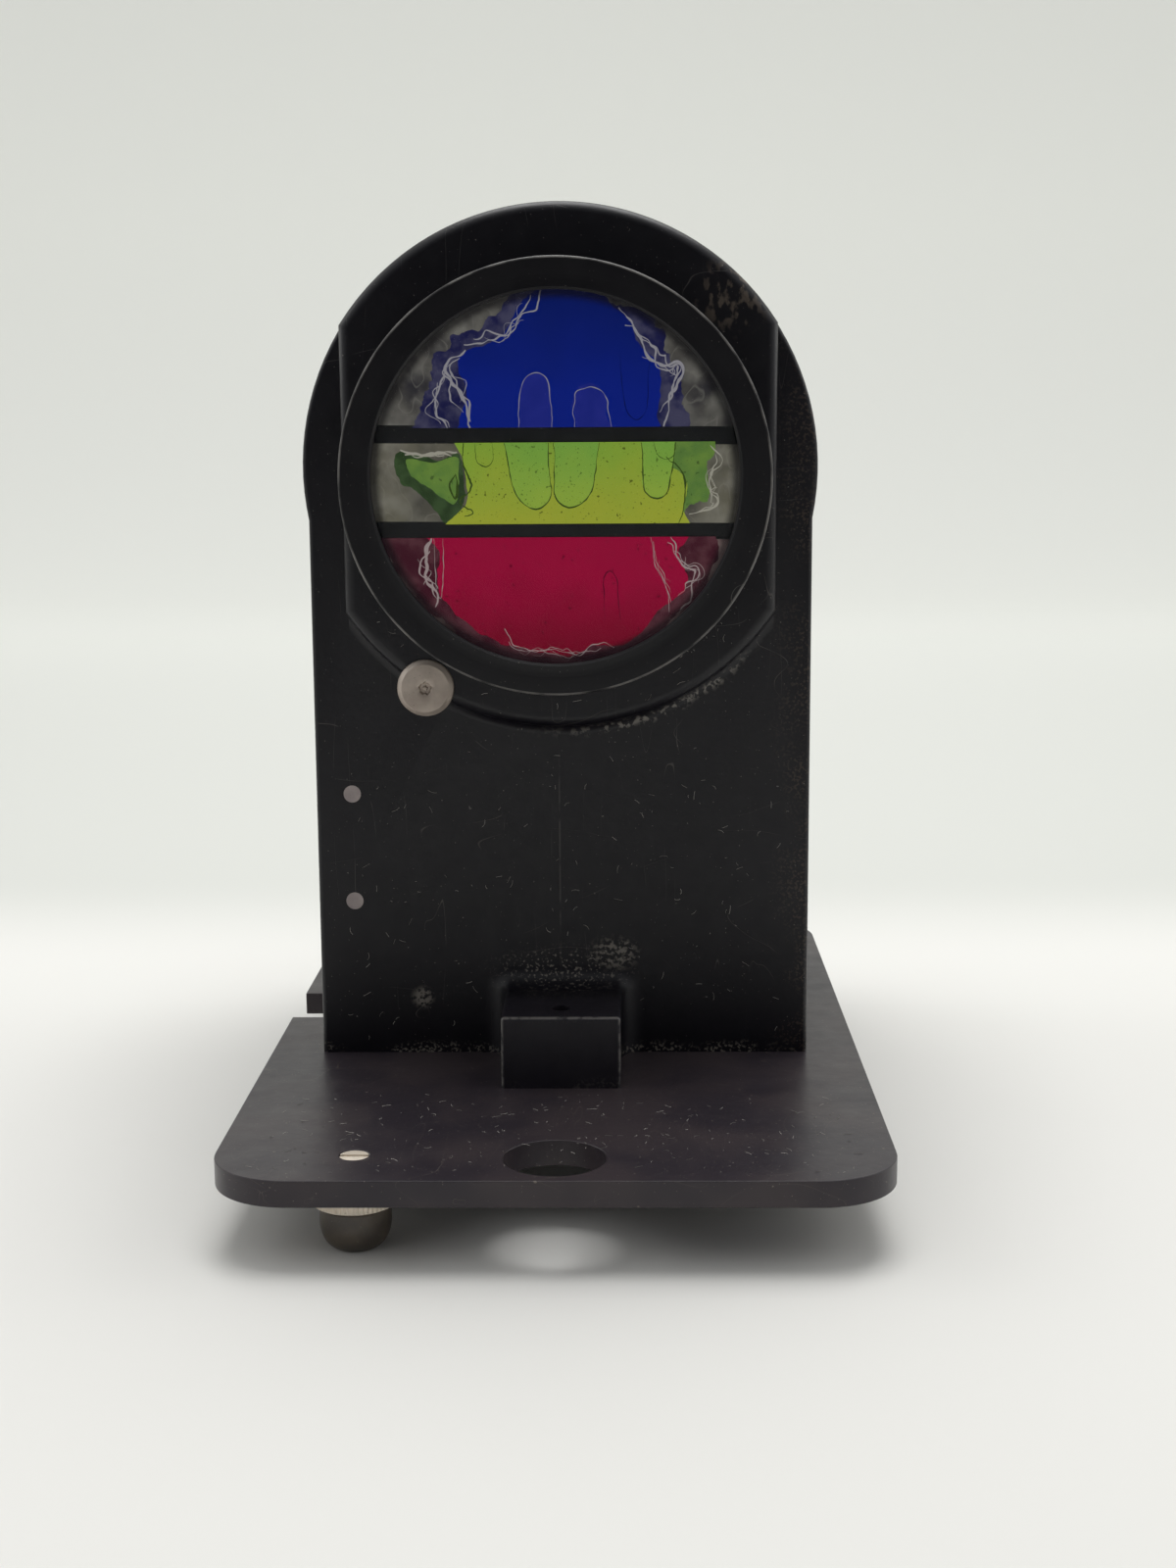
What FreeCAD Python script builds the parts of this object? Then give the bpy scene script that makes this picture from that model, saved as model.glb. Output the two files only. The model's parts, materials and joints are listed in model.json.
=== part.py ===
import FreeCAD, Part
import math
import os
import re

import Sketcher
from FreeCAD import Rotation, Vector

# Three-colour signal lamp: an arch-topped moulded housing on a sheet base plate.
# Frame: millimetres, +Z up, front of the lamp towards -Y, origin on the floor under the plate's centre.

SIZES = [
    ("plate_width", 100.0, "base plate, left to right"),
    ("plate_depth", 158.0, "base plate, front to back"),
    ("plate_thickness", 4.0, "base plate sheet"),
    ("plate_corner_radius", 12.0, "rounded plate corners"),
    ("front_bore_diameter", 15.2, "through hole at the plate's front edge"),
    ("front_bore_inset", 9.6, "front edge to the through hole's centre"),
    ("notch_start", 83.6, "front edge to the notch in the left edge"),
    ("notch_length", 16.1, "notch along the left edge"),
    ("notch_depth", 6.0, "notch into the plate"),
    ("dome_diameter", 10.6, "foot dome"),
    ("dome_height", 6.4, "foot dome"),
    ("nut_diameter", 12.9, "knurled nut"),
    ("nut_height", 3.1, "knurled nut"),
    ("nut_clearance", 0.1, "above and below each knurled nut"),
    ("nut_bore_clearance", 0.08, "between each knurled nut and its stud"),
    ("stud_diameter", 4.3, "foot stud"),
    ("stud_recess", 0.1, "stud end below the plate's top face"),
    ("stud_slot_width", 0.7, "slot in a stud's end"),
    ("foot_offset", 29.4, "centre plane to each foot"),
    ("front_foot_inset", 10.8, "front edge to the front foot"),
    ("right_foot_inset", 84.0, "front edge to the right foot"),
    ("rear_foot_inset", 147.0, "front edge to the rear foot"),
    ("nut_screw_gap", 0.5, "least gap from the rear foot's nut to a housing screw's head"),
    ("housing_width", 82.5, "housing box, left to right"),
    ("housing_depth", 78.0, "housing, front face to rear rim"),
    ("front_setback", 61.9, "plate's front edge to the housing's front face"),
    ("arch_radius", 42.05, "arched top"),
    ("arch_height", 98.4, "plate's top face to the arch's centre"),
    ("wall_thickness", 3.5, "sides, arch and floor of the housing"),
    ("front_wall", 4.0, "front of the housing"),
    ("boss_radius", 41.8, "round boss on the front face"),
    ("boss_height", 5.5, "boss above the front face"),
    ("boss_flat_offset", 35.0, "centre plane to each flat on the boss"),
    ("boss_round", 1.8, "rounded front edge of the boss"),
    ("boss_root_round", 2.0, "hollow fillet under the boss"),
    ("edge_round", 0.8, "rounded front edges of the box"),
    ("lug_width", 19.3, "foot lug under the boss"),
    ("lug_height", 11.8, "foot lug"),
    ("lug_length", 20.0, "foot lug, out from the front face"),
    ("lug_root_round", 4.0, "hollow fillet where the lug meets the face"),
    ("lug_edge_round", 0.7, "worn outer edges of the lug"),
    ("lug_hole_inset", 5.6, "lug's front to its screw hole"),
    ("screw_boss_offset", 30.0, "centre plane to each rear screw boss"),
    ("screw_boss_inset", 12.0, "rear rim to each rear screw boss"),
    ("screw_boss_radius", 4.0, "rear screw boss"),
    ("screw_boss_height", 12.0, "rear screw boss above the plate"),
    ("screw_diameter", 3.0, "screws that hold housing and lamp board"),
    ("screw_reach", 8.5, "housing screws into the housing"),
    ("screw_head_diameter", 5.6, "screw heads"),
    ("screw_head_height", 2.0, "screw heads"),
    ("screw_clearance", 0.05, "between a screw and its hole"),
    ("lens_height", 97.2, "plate's top face to the lens axis"),
    ("barrel_radius", 32.9, "outside of the lens barrel"),
    ("barrel_projection", 25.0, "barrel in front of the housing's front face"),
    ("barrel_bore_radius", 29.6, "inside of the lens barrel"),
    ("barrel_fit", 0.05, "between barrel and boss"),
    ("barrel_edge", 0.5, "chamfer round the barrel's front"),
    ("aperture_radius", 28.0, "clear opening in the barrel's front lip"),
    ("lip_thickness", 1.2, "barrel's front lip"),
    ("flange_radius", 36.0, "barrel flange behind the front wall"),
    ("flange_thickness", 2.0, "barrel flange"),
    ("disc_clearance", 0.1, "between the glass discs and the barrel"),
    ("glass_thickness", 1.5, "front glass"),
    ("filter_thickness", 0.8, "colour filters and divider bars"),
    ("diffuser_thickness", 2.0, "opal diffuser"),
    ("ring_width", 2.5, "filter retaining ring"),
    ("ring_thickness", 2.0, "filter retaining ring"),
    ("filter_tilt", 0.5, "turn of the filter stack about the lens axis, degrees"),
    ("upper_bar_offset", 6.6, "lens axis up to the upper divider bar"),
    ("upper_bar_width", 2.7, "upper divider bar"),
    ("lower_bar_offset", 7.8, "lens axis down to the lower divider bar"),
    ("lower_bar_width", 2.5, "lower divider bar"),
    ("baffle_radius", 32.0, "outside of the light baffle"),
    ("baffle_wall", 1.5, "light baffle"),
    ("baffle_length", 30.0, "light baffle"),
    ("partition_thickness", 1.2, "partitions between the three lamps"),
    ("board_radius", 34.0, "lamp board"),
    ("board_thickness", 2.5, "lamp board"),
    ("board_tab_width", 68.0, "lower tab of the lamp board"),
    ("board_tab_height", 14.0, "lower tab of the lamp board"),
    ("post_offset", 30.0, "centre plane to each board post"),
    ("post_height", 70.0, "plate's top face to each board post"),
    ("post_radius", 3.0, "board post"),
    ("post_screw_reach", 8.0, "board screws into the posts"),
    ("upper_lamp_offset", 18.0, "lens axis up to the upper lamp"),
    ("middle_lamp_offset", -0.6, "lens axis to the middle lamp"),
    ("lower_lamp_offset", -18.5, "lens axis down to the lower lamp"),
    ("holder_radius", 5.5, "lamp holder"),
    ("holder_length", 11.0, "lamp holder"),
    ("holder_tail_radius", 1.5, "contact tail of a lamp holder"),
    ("holder_tail_length", 3.0, "contact tail behind the board"),
    ("cap_radius", 4.75, "brass cap of a bulb"),
    ("cap_length", 9.5, "brass cap of a bulb"),
    ("cap_clearance", 0.05, "between a bulb's cap and its holder"),
    ("bulb_radius", 5.0, "glass of a bulb"),
    ("bulb_length", 12.0, "glass of a bulb, cap to the centre of its tip"),
    ("strip_width", 5.0, "common strip"),
    ("strip_thickness", 0.8, "common strip"),
    ("strip_offset", 9.5, "centre plane to the common strip's centre"),
    ("bracket_thickness", 1.2, "terminal bracket"),
    ("bracket_width", 9.4, "terminal bracket on the front wall"),
    ("bracket_bottom", 20.0, "plate's top face to the terminal bracket"),
    ("bracket_height", 31.0, "terminal bracket"),
    ("bracket_length", 22.0, "terminal bracket, back from the front wall"),
    ("bracket_wall_gap", 0.4, "side wall to the terminal bracket"),
    ("rivet_inset", 2.55, "inside of the left wall to the bracket rivets"),
    ("rivet_diameter", 2.9, "bracket rivets"),
    ("lower_rivet_height", 26.5, "plate's top face to the lower rivet"),
    ("upper_rivet_height", 44.8, "plate's top face to the upper rivet"),
    ("rivet_head_radius", 1.95, "formed heads inside the housing"),
    ("rivet_head_height", 0.9, "formed heads inside the housing"),
    ("block_thickness", 10.0, "terminal block"),
    ("block_length", 14.0, "terminal block"),
    ("block_height", 28.0, "terminal block"),
    ("terminal_pitch", 6.4, "terminal screws, one above the other"),
    ("terminal_head_radius", 2.4, "terminal screw heads"),
    ("terminal_head_height", 1.5, "terminal screw heads"),
    ("terminal_shank_radius", 1.25, "terminal screws"),
    ("terminal_shank_length", 7.0, "terminal screws"),
    ("wire_radius", 0.8, "lamp wires with their covering"),
    ("wire_bend", 3.0, "bends in the lamp wires"),
    ("wire_first_run", 7.5, "lamp board's back to the first wire"),
    ("wire_step", 2.6, "each further wire stands back by this"),
    ("pin_offset", 22.0, "centre plane to the keeper pin"),
    ("pin_height", 63.3, "plate's top face to the keeper pin"),
    ("pin_radius", 4.625, "head of the keeper pin"),
    ("pin_stand", 1.2, "keeper pin proud of the boss"),
    ("pin_edge", 0.55, "chamfer round the keeper pin"),
    ("pin_shank_radius", 2.4, "keeper pin through the wall"),
    ("pin_nut_radius", 4.2, "nut behind the keeper pin, across corners"),
    ("pin_nut_height", 2.6, "nut behind the keeper pin"),
    ("pin_clearance", 0.06, "between keeper pin and housing"),
    ("cover_thickness", 4.0, "rear cover"),
    ("cover_gap", 0.3, "housing rim to rear cover"),
    ("cover_panel_inset", 7.0, "rear cover's edge to its sunk panel"),
    ("cover_panel_depth", 1.0, "sunk panel in the rear cover"),
    ("hinge_bottom", 18.0, "plate's top face to the hinge"),
    ("hinge_height", 60.0, "hinge"),
    ("hinge_axis_gap", 2.35, "housing's side to the hinge axis"),
    ("knuckle_radius", 2.0, "hinge knuckles"),
    ("knuckle_gap", 0.3, "between hinge knuckles"),
    ("hinge_pin_radius", 1.0, "hinge pin"),
    ("hinge_play", 0.05, "between hinge pin and knuckles"),
    ("leaf_thickness", 1.0, "hinge leaves"),
    ("leaf_width", 13.0, "hinge leaves"),
    ("leaf_screw_radius", 1.2, "hinge leaf screws"),
    ("leaf_screw_reach", 2.6, "hinge leaf screws into the moulding"),
    ("leaf_screw_head_radius", 2.2, "hinge leaf screws"),
    ("leaf_screw_head_height", 1.2, "hinge leaf screws"),
    ("leaf_screw_inset", 10.0, "hinge's ends to its screws"),
    ("latch_offset", 26.0, "centre plane to the latch"),
    ("latch_height", 60.0, "plate's top face to the latch"),
    ("latch_shaft_radius", 2.5, "latch shaft"),
    ("latch_clearance", 0.08, "between latch shaft and cover"),
    ("knob_radius", 6.5, "latch knob"),
    ("knob_thickness", 2.6, "round of the latch knob"),
    ("knob_grip_width", 3.2, "finger grip of the latch knob"),
    ("knob_grip_height", 5.0, "finger grip of the latch knob"),
    ("knob_gap", 0.15, "rear cover to knob, and to the latch washer"),
    ("latch_washer_radius", 4.2, "washer that holds the latch in the cover"),
    ("latch_washer_thickness", 1.0, "latch washer"),
    ("cam_length", 10.5, "latch cam, axis to tip"),
    ("cam_width", 6.0, "latch cam"),
    ("cam_thickness", 2.5, "latch cam"),
    ("cam_gap", 0.4, "latch cam to its keeper"),
    ("keeper_reach", 3.0, "latch keeper out from the side wall"),
    ("keeper_depth", 4.5, "latch keeper"),
    ("keeper_height", 16.0, "latch keeper"),
    ("keeper_inset", 3.0, "rear rim to the latch keeper"),
]

# Places that many pieces share, as text for the sheet to work out.
PLATE_BOTTOM = "(dome_height + nut_height + 2 * nut_clearance)"
PLATE_TOP = f"({PLATE_BOTTOM} + plate_thickness)"
PLATE_FRONT = "(-plate_depth / 2)"
FACE = f"({PLATE_FRONT} + front_setback)"
WALL_BACK = f"({FACE} + front_wall)"
BARREL_BACK = f"({WALL_BACK} + flange_thickness)"
BOARD_FRONT = f"({BARREL_BACK} + baffle_length)"
BOARD_BACK = f"({BOARD_FRONT} + board_thickness)"
RIM = f"({FACE} + housing_depth)"
REAR_SCREW_Y = (f"min({RIM} - screw_boss_inset; {PLATE_FRONT} + rear_foot_inset"
                " - nut_diameter / 2 - screw_head_diameter / 2 - nut_screw_gap)")
COVER_FRONT = f"({RIM} + cover_gap)"
COVER_BACK = f"({COVER_FRONT} + cover_thickness)"
ARCH = f"({PLATE_TOP} + arch_height)"
LENS = f"({PLATE_TOP} + lens_height)"
BARREL_FRONT = f"({FACE} - barrel_projection)"
BOSS_FRONT = f"({FACE} - boss_height)"
SIDE = "(housing_width / 2)"
INSIDE = "(housing_width / 2 - wall_thickness)"
RIVET_X = f"-({INSIDE} - rivet_inset)"
HINGE_X = f"({SIDE} + hinge_axis_gap)"
HINGE_Y = f"({RIM} + cover_gap / 2)"
HINGE_LOW = f"({PLATE_TOP} + hinge_bottom)"
GLASS_FRONT = f"({BARREL_FRONT} + lip_thickness)"
FILTER_FRONT = f"({GLASS_FRONT} + glass_thickness)"
DIFFUSER_FRONT = f"({FILTER_FRONT} + filter_thickness)"
RING_FRONT = f"({DIFFUSER_FRONT} + diffuser_thickness)"
DISC_RADIUS = "(barrel_bore_radius - disc_clearance)"
BLOCK_FACE = f"(-{INSIDE} + bracket_wall_gap + bracket_width)"
LATCH_Z = f"({PLATE_TOP} + latch_height)"
KEEPER_FRONT = f"({RIM} - keeper_inset - keeper_depth)"
CAM_BACK = f"({KEEPER_FRONT} - cam_gap)"
CAM_FRONT = f"({CAM_BACK} - cam_thickness)"

doc = FreeCAD.newDocument("signal_lamp")
sheet = doc.addObject("Spreadsheet::Sheet", "Sizes")
nodes = []


def fill_sheet():
    """Write each driving size to the sheet: its name, its value under an alias, and what it is."""
    for row, (name, value, note) in enumerate(SIZES, start=1):
        sheet.set(f"A{row}", name)
        sheet.set(f"B{row}", str(value))
        sheet.set(f"C{row}", note)
        sheet.setAlias(f"B{row}", name)
    doc.recompute()


def tied(text):
    """Point each size name at the sheet; every size name holds an underscore."""
    return re.sub(r"\b([a-z]+(?:_[a-z]+)+)\b", r"Sizes.\1", str(text))


def number(text):
    """Work out a size expression as a plain number."""
    result = sheet.evalExpression(tied(text))
    return float(getattr(result, "Value", result))


def tie(item, target, text):
    """Bind a property of an object to a size expression."""
    item.setExpression(target, tied(text))


def place(item, x, y, z, axis="Z"):
    """Put an object at x, y, z with its own Z direction along the named axis."""
    turns = {"Z": Rotation(), "Y": Rotation(Vector(1, 0, 0), -90), "X": Rotation(Vector(0, 1, 0), 90)}
    item.Placement.Rotation = turns[axis]
    tie(item, "Placement.Base.x", x)
    tie(item, "Placement.Base.y", y)
    tie(item, "Placement.Base.z", z)
    return item


def cylinder(name, radius, length, x, y, z, axis="Z"):
    """A bound cylinder that starts at x, y, z and runs along the named axis."""
    item = doc.addObject("Part::Cylinder", name)
    tie(item, "Radius", radius)
    tie(item, "Height", length)
    return place(item, x, y, z, axis)


def cone(name, first_radius, second_radius, length, x, y, z, axis="Z"):
    """A bound frustum that starts at x, y, z and runs along the named axis."""
    item = doc.addObject("Part::Cone", name)
    tie(item, "Radius1", first_radius)
    tie(item, "Radius2", second_radius)
    tie(item, "Height", length)
    return place(item, x, y, z, axis)


def box(name, x, y, z, x_length, y_length, z_length):
    """A bound box with its lowest corner at x, y, z."""
    item = doc.addObject("Part::Box", name)
    tie(item, "Length", x_length)
    tie(item, "Width", y_length)
    tie(item, "Height", z_length)
    return place(item, x, y, z)


def joined(name, *shapes):
    """Fuse several objects into one solid."""
    item = doc.addObject("Part::MultiFuse", name)
    item.Shapes = list(shapes)
    item.Refine = True
    return item


def cut(name, base, *tools):
    """Take one or more objects out of another."""
    item = doc.addObject("Part::Cut", name)
    item.Base = base
    item.Tool = tools[0] if len(tools) == 1 else joined(name + "_tools", *tools)
    return item


def common(name, first, second):
    """Keep what two objects share."""
    item = doc.addObject("Part::Common", name)
    item.Base = first
    item.Tool = second
    return item


def group(name, *shapes):
    """Hold several separate solids under one name."""
    item = doc.addObject("Part::Compound", name)
    item.Links = list(shapes)
    return item


def node(item, label):
    """Register an object as a sub-part under its own label."""
    item.Label = label
    nodes.append(item)
    return item


def new_sketch(body, name, role, offset, rise="0"):
    """A sketch on one of the body's own origin planes, moved along its normal and up its own Y."""
    sketch = body.newObject("Sketcher::SketchObject", name)
    planes = [feature for feature in body.Origin.OriginFeatures if feature.Role == role]
    sketch.AttachmentSupport = [(planes[0], "")]
    sketch.MapMode = "FlatFace"
    tie(sketch, "AttachmentOffset.Base.z", offset)
    tie(sketch, "AttachmentOffset.Base.y", rise)
    return sketch


def fix(sketch, constraint, text):
    """Add a dimension to a sketch and bind it to a size expression."""
    index = sketch.addConstraint(constraint)
    sketch.setExpression(f"Constraints[{index}]", tied(text))


def fix_point(sketch, geometry, point, x, y):
    """Dimension one point of a sketch from the sketch's origin."""
    fix(sketch, Sketcher.Constraint("DistanceX", -1, 1, geometry, point, number(x)), x)
    fix(sketch, Sketcher.Constraint("DistanceY", -1, 1, geometry, point, number(y)), y)


def draw_circle(sketch, x, y, radius):
    """Draw a dimensioned circle."""
    centre = Vector(number(x), number(y), 0)
    index = sketch.addGeometry(Part.Circle(centre, Vector(0, 0, 1), number(radius)))
    fix(sketch, Sketcher.Constraint("Radius", index, number(radius)), radius)
    fix_point(sketch, index, 3, x, y)


def draw_outline(sketch, points):
    """Draw a closed outline of straight lines with every corner dimensioned."""
    corners = [Vector(number(x), number(y), 0) for x, y in points]
    count = len(corners)
    first = sketch.GeometryCount
    for index in range(count):
        sketch.addGeometry(Part.LineSegment(corners[index], corners[(index + 1) % count]))
    for index in range(count):
        following = first + (index + 1) % count
        sketch.addConstraint(Sketcher.Constraint("Coincident", first + index, 2, following, 1))
        fix_point(sketch, first + index, 1, points[index][0], points[index][1])


def draw_rectangle(sketch, left, low, right, high):
    """Draw a dimensioned rectangle."""
    draw_outline(sketch, [(left, low), (right, low), (right, high), (left, high)])


def draw_arch(sketch, half_width, low, centre, radius):
    """Draw straight sides and a foot under a round head that starts where the circle meets the sides."""
    half, bottom, middle, size = number(half_width), number(low), number(centre), number(radius)
    drop = math.sqrt(size ** 2 - half ** 2)
    foot_left = Vector(-half, bottom, 0)
    foot_right = Vector(half, bottom, 0)
    shoulder_right = Vector(half, middle - drop, 0)
    shoulder_left = Vector(-half, middle - drop, 0)
    turn = math.atan2(-drop, half)
    circle = Part.Circle(Vector(0, middle, 0), Vector(0, 0, 1), size)
    foot = sketch.addGeometry(Part.LineSegment(foot_left, foot_right))
    right = sketch.addGeometry(Part.LineSegment(foot_right, shoulder_right))
    head = sketch.addGeometry(Part.ArcOfCircle(circle, turn, math.pi - turn))
    left = sketch.addGeometry(Part.LineSegment(shoulder_left, foot_left))
    for first, first_end, second, second_end in (
        (foot, 2, right, 1), (right, 2, head, 1), (head, 2, left, 1), (left, 2, foot, 1),
    ):
        sketch.addConstraint(Sketcher.Constraint("Coincident", first, first_end, second, second_end))
    sketch.addConstraint(Sketcher.Constraint("Vertical", right))
    sketch.addConstraint(Sketcher.Constraint("Vertical", left))
    fix_point(sketch, foot, 1, f"-({half_width})", low)
    fix_point(sketch, foot, 2, half_width, low)
    fix(sketch, Sketcher.Constraint("Radius", head, size), radius)
    fix_point(sketch, head, 3, "0", centre)


def draw_flatted_disc(sketch, centre, radius, half_flats):
    """Draw a circle with a vertical flat on each side."""
    middle, size, half = number(centre), number(radius), number(half_flats)
    rise = math.sqrt(size ** 2 - half ** 2)
    turn = math.atan2(rise, half)
    circle = Part.Circle(Vector(0, middle, 0), Vector(0, 0, 1), size)
    right = sketch.addGeometry(Part.LineSegment(Vector(half, middle - rise, 0), Vector(half, middle + rise, 0)))
    top = sketch.addGeometry(Part.ArcOfCircle(circle, turn, math.pi - turn))
    left = sketch.addGeometry(Part.LineSegment(Vector(-half, middle + rise, 0), Vector(-half, middle - rise, 0)))
    bottom = sketch.addGeometry(Part.ArcOfCircle(circle, math.pi + turn, 2 * math.pi - turn))
    for first, first_end, second, second_end in (
        (right, 2, top, 1), (top, 2, left, 1), (left, 2, bottom, 1), (bottom, 2, right, 1),
    ):
        sketch.addConstraint(Sketcher.Constraint("Coincident", first, first_end, second, second_end))
    sketch.addConstraint(Sketcher.Constraint("Vertical", right))
    sketch.addConstraint(Sketcher.Constraint("Vertical", left))
    for arc in (top, bottom):
        fix(sketch, Sketcher.Constraint("Radius", arc, size), radius)
        fix_point(sketch, arc, 3, "0", centre)
    fix(sketch, Sketcher.Constraint("DistanceX", -1, 1, right, 1, half), half_flats)
    fix(sketch, Sketcher.Constraint("DistanceX", -1, 1, left, 1, -half), f"-({half_flats})")


def pad(body, sketch, length, backwards=False):
    """Grow a sketch along its plane's normal, or against it."""
    feature = body.newObject("PartDesign::Pad", sketch.Name + "_pad")
    feature.Profile = sketch
    feature.Reversed = backwards
    tie(feature, "Length", length)
    doc.recompute()
    return feature


def pocket(body, sketch, length, backwards=False):
    """Cut a sketch against its plane's normal, or along it, and see that it removes material."""
    before = body.Shape.Volume
    feature = body.newObject("PartDesign::Pocket", sketch.Name + "_pocket")
    feature.Profile = sketch
    feature.Reversed = backwards
    tie(feature, "Length", length)
    doc.recompute()
    if body.Shape.Volume >= before:
        raise RuntimeError(f"{feature.Name} removes nothing")
    return feature


def round_edges(body, name, radius, keep):
    """Round each edge of the body that the test picks."""
    last = body.Tip
    names = [f"Edge{i}" for i, edge in enumerate(last.Shape.Edges, start=1) if keep(edge)]
    feature = body.newObject("PartDesign::Fillet", name)
    feature.Base = (last, names)
    tie(feature, "Radius", radius)
    doc.recompute()
    return feature


def same(first, second):
    """True where two lengths agree to a hundredth of a millimetre."""
    return abs(first - second) < 0.01


def revolved(label, points):
    """A body turned about the lens axis from corners given as distance along Y and radius."""
    body = doc.addObject("PartDesign::Body", label)
    sketch = new_sketch(body, label + "_profile", "YZ_Plane", "0", LENS)
    draw_outline(sketch, points)
    feature = body.newObject("PartDesign::Revolution", label + "_turned")
    feature.Profile = sketch
    feature.ReferenceAxis = (sketch, ["H_Axis"])
    doc.recompute()
    return node(body, label)


def make_base_plate():
    """Sheet plate with rounded corners, a through hole at the front, a side notch and fixing holes."""
    body = doc.addObject("PartDesign::Body", "base_plate")
    outline = new_sketch(body, "plate_outline", "XY_Plane", PLATE_BOTTOM)
    draw_rectangle(outline, "-plate_width / 2", PLATE_FRONT, "plate_width / 2", "plate_depth / 2")
    pad(body, outline, "plate_thickness")
    round_edges(body, "plate_corners", "plate_corner_radius",
                lambda edge: same(edge.Length, number("plate_thickness")))
    holes = new_sketch(body, "plate_holes", "XY_Plane", PLATE_TOP)
    draw_circle(holes, "0", f"{PLATE_FRONT} + front_bore_inset", "front_bore_diameter / 2")
    for x, y in foot_places():
        draw_circle(holes, x, y, "stud_diameter / 2 + screw_clearance")
    for x, y in housing_screw_places():
        draw_circle(holes, x, y, "screw_diameter / 2 + screw_clearance")
    draw_rectangle(holes, "-plate_width / 2 - 1", f"{PLATE_FRONT} + notch_start",
                   "-plate_width / 2 + notch_depth", f"{PLATE_FRONT} + notch_start + notch_length")
    pocket(body, holes, "plate_thickness + 1")
    return node(body, "base_plate")


def foot_places():
    """Places of the three feet: front left, right and rear left."""
    return [
        ("-foot_offset", f"{PLATE_FRONT} + front_foot_inset"),
        ("foot_offset", f"{PLATE_FRONT} + right_foot_inset"),
        ("-foot_offset", f"{PLATE_FRONT} + rear_foot_inset"),
    ]


def housing_screw_places():
    """Places of the three screws that come up through the plate: lug and two rear bosses."""
    return [
        ("0", f"{FACE} - lug_length + lug_hole_inset"),
        ("-screw_boss_offset", REAR_SCREW_Y),
        ("screw_boss_offset", REAR_SCREW_Y),
    ]


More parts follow.
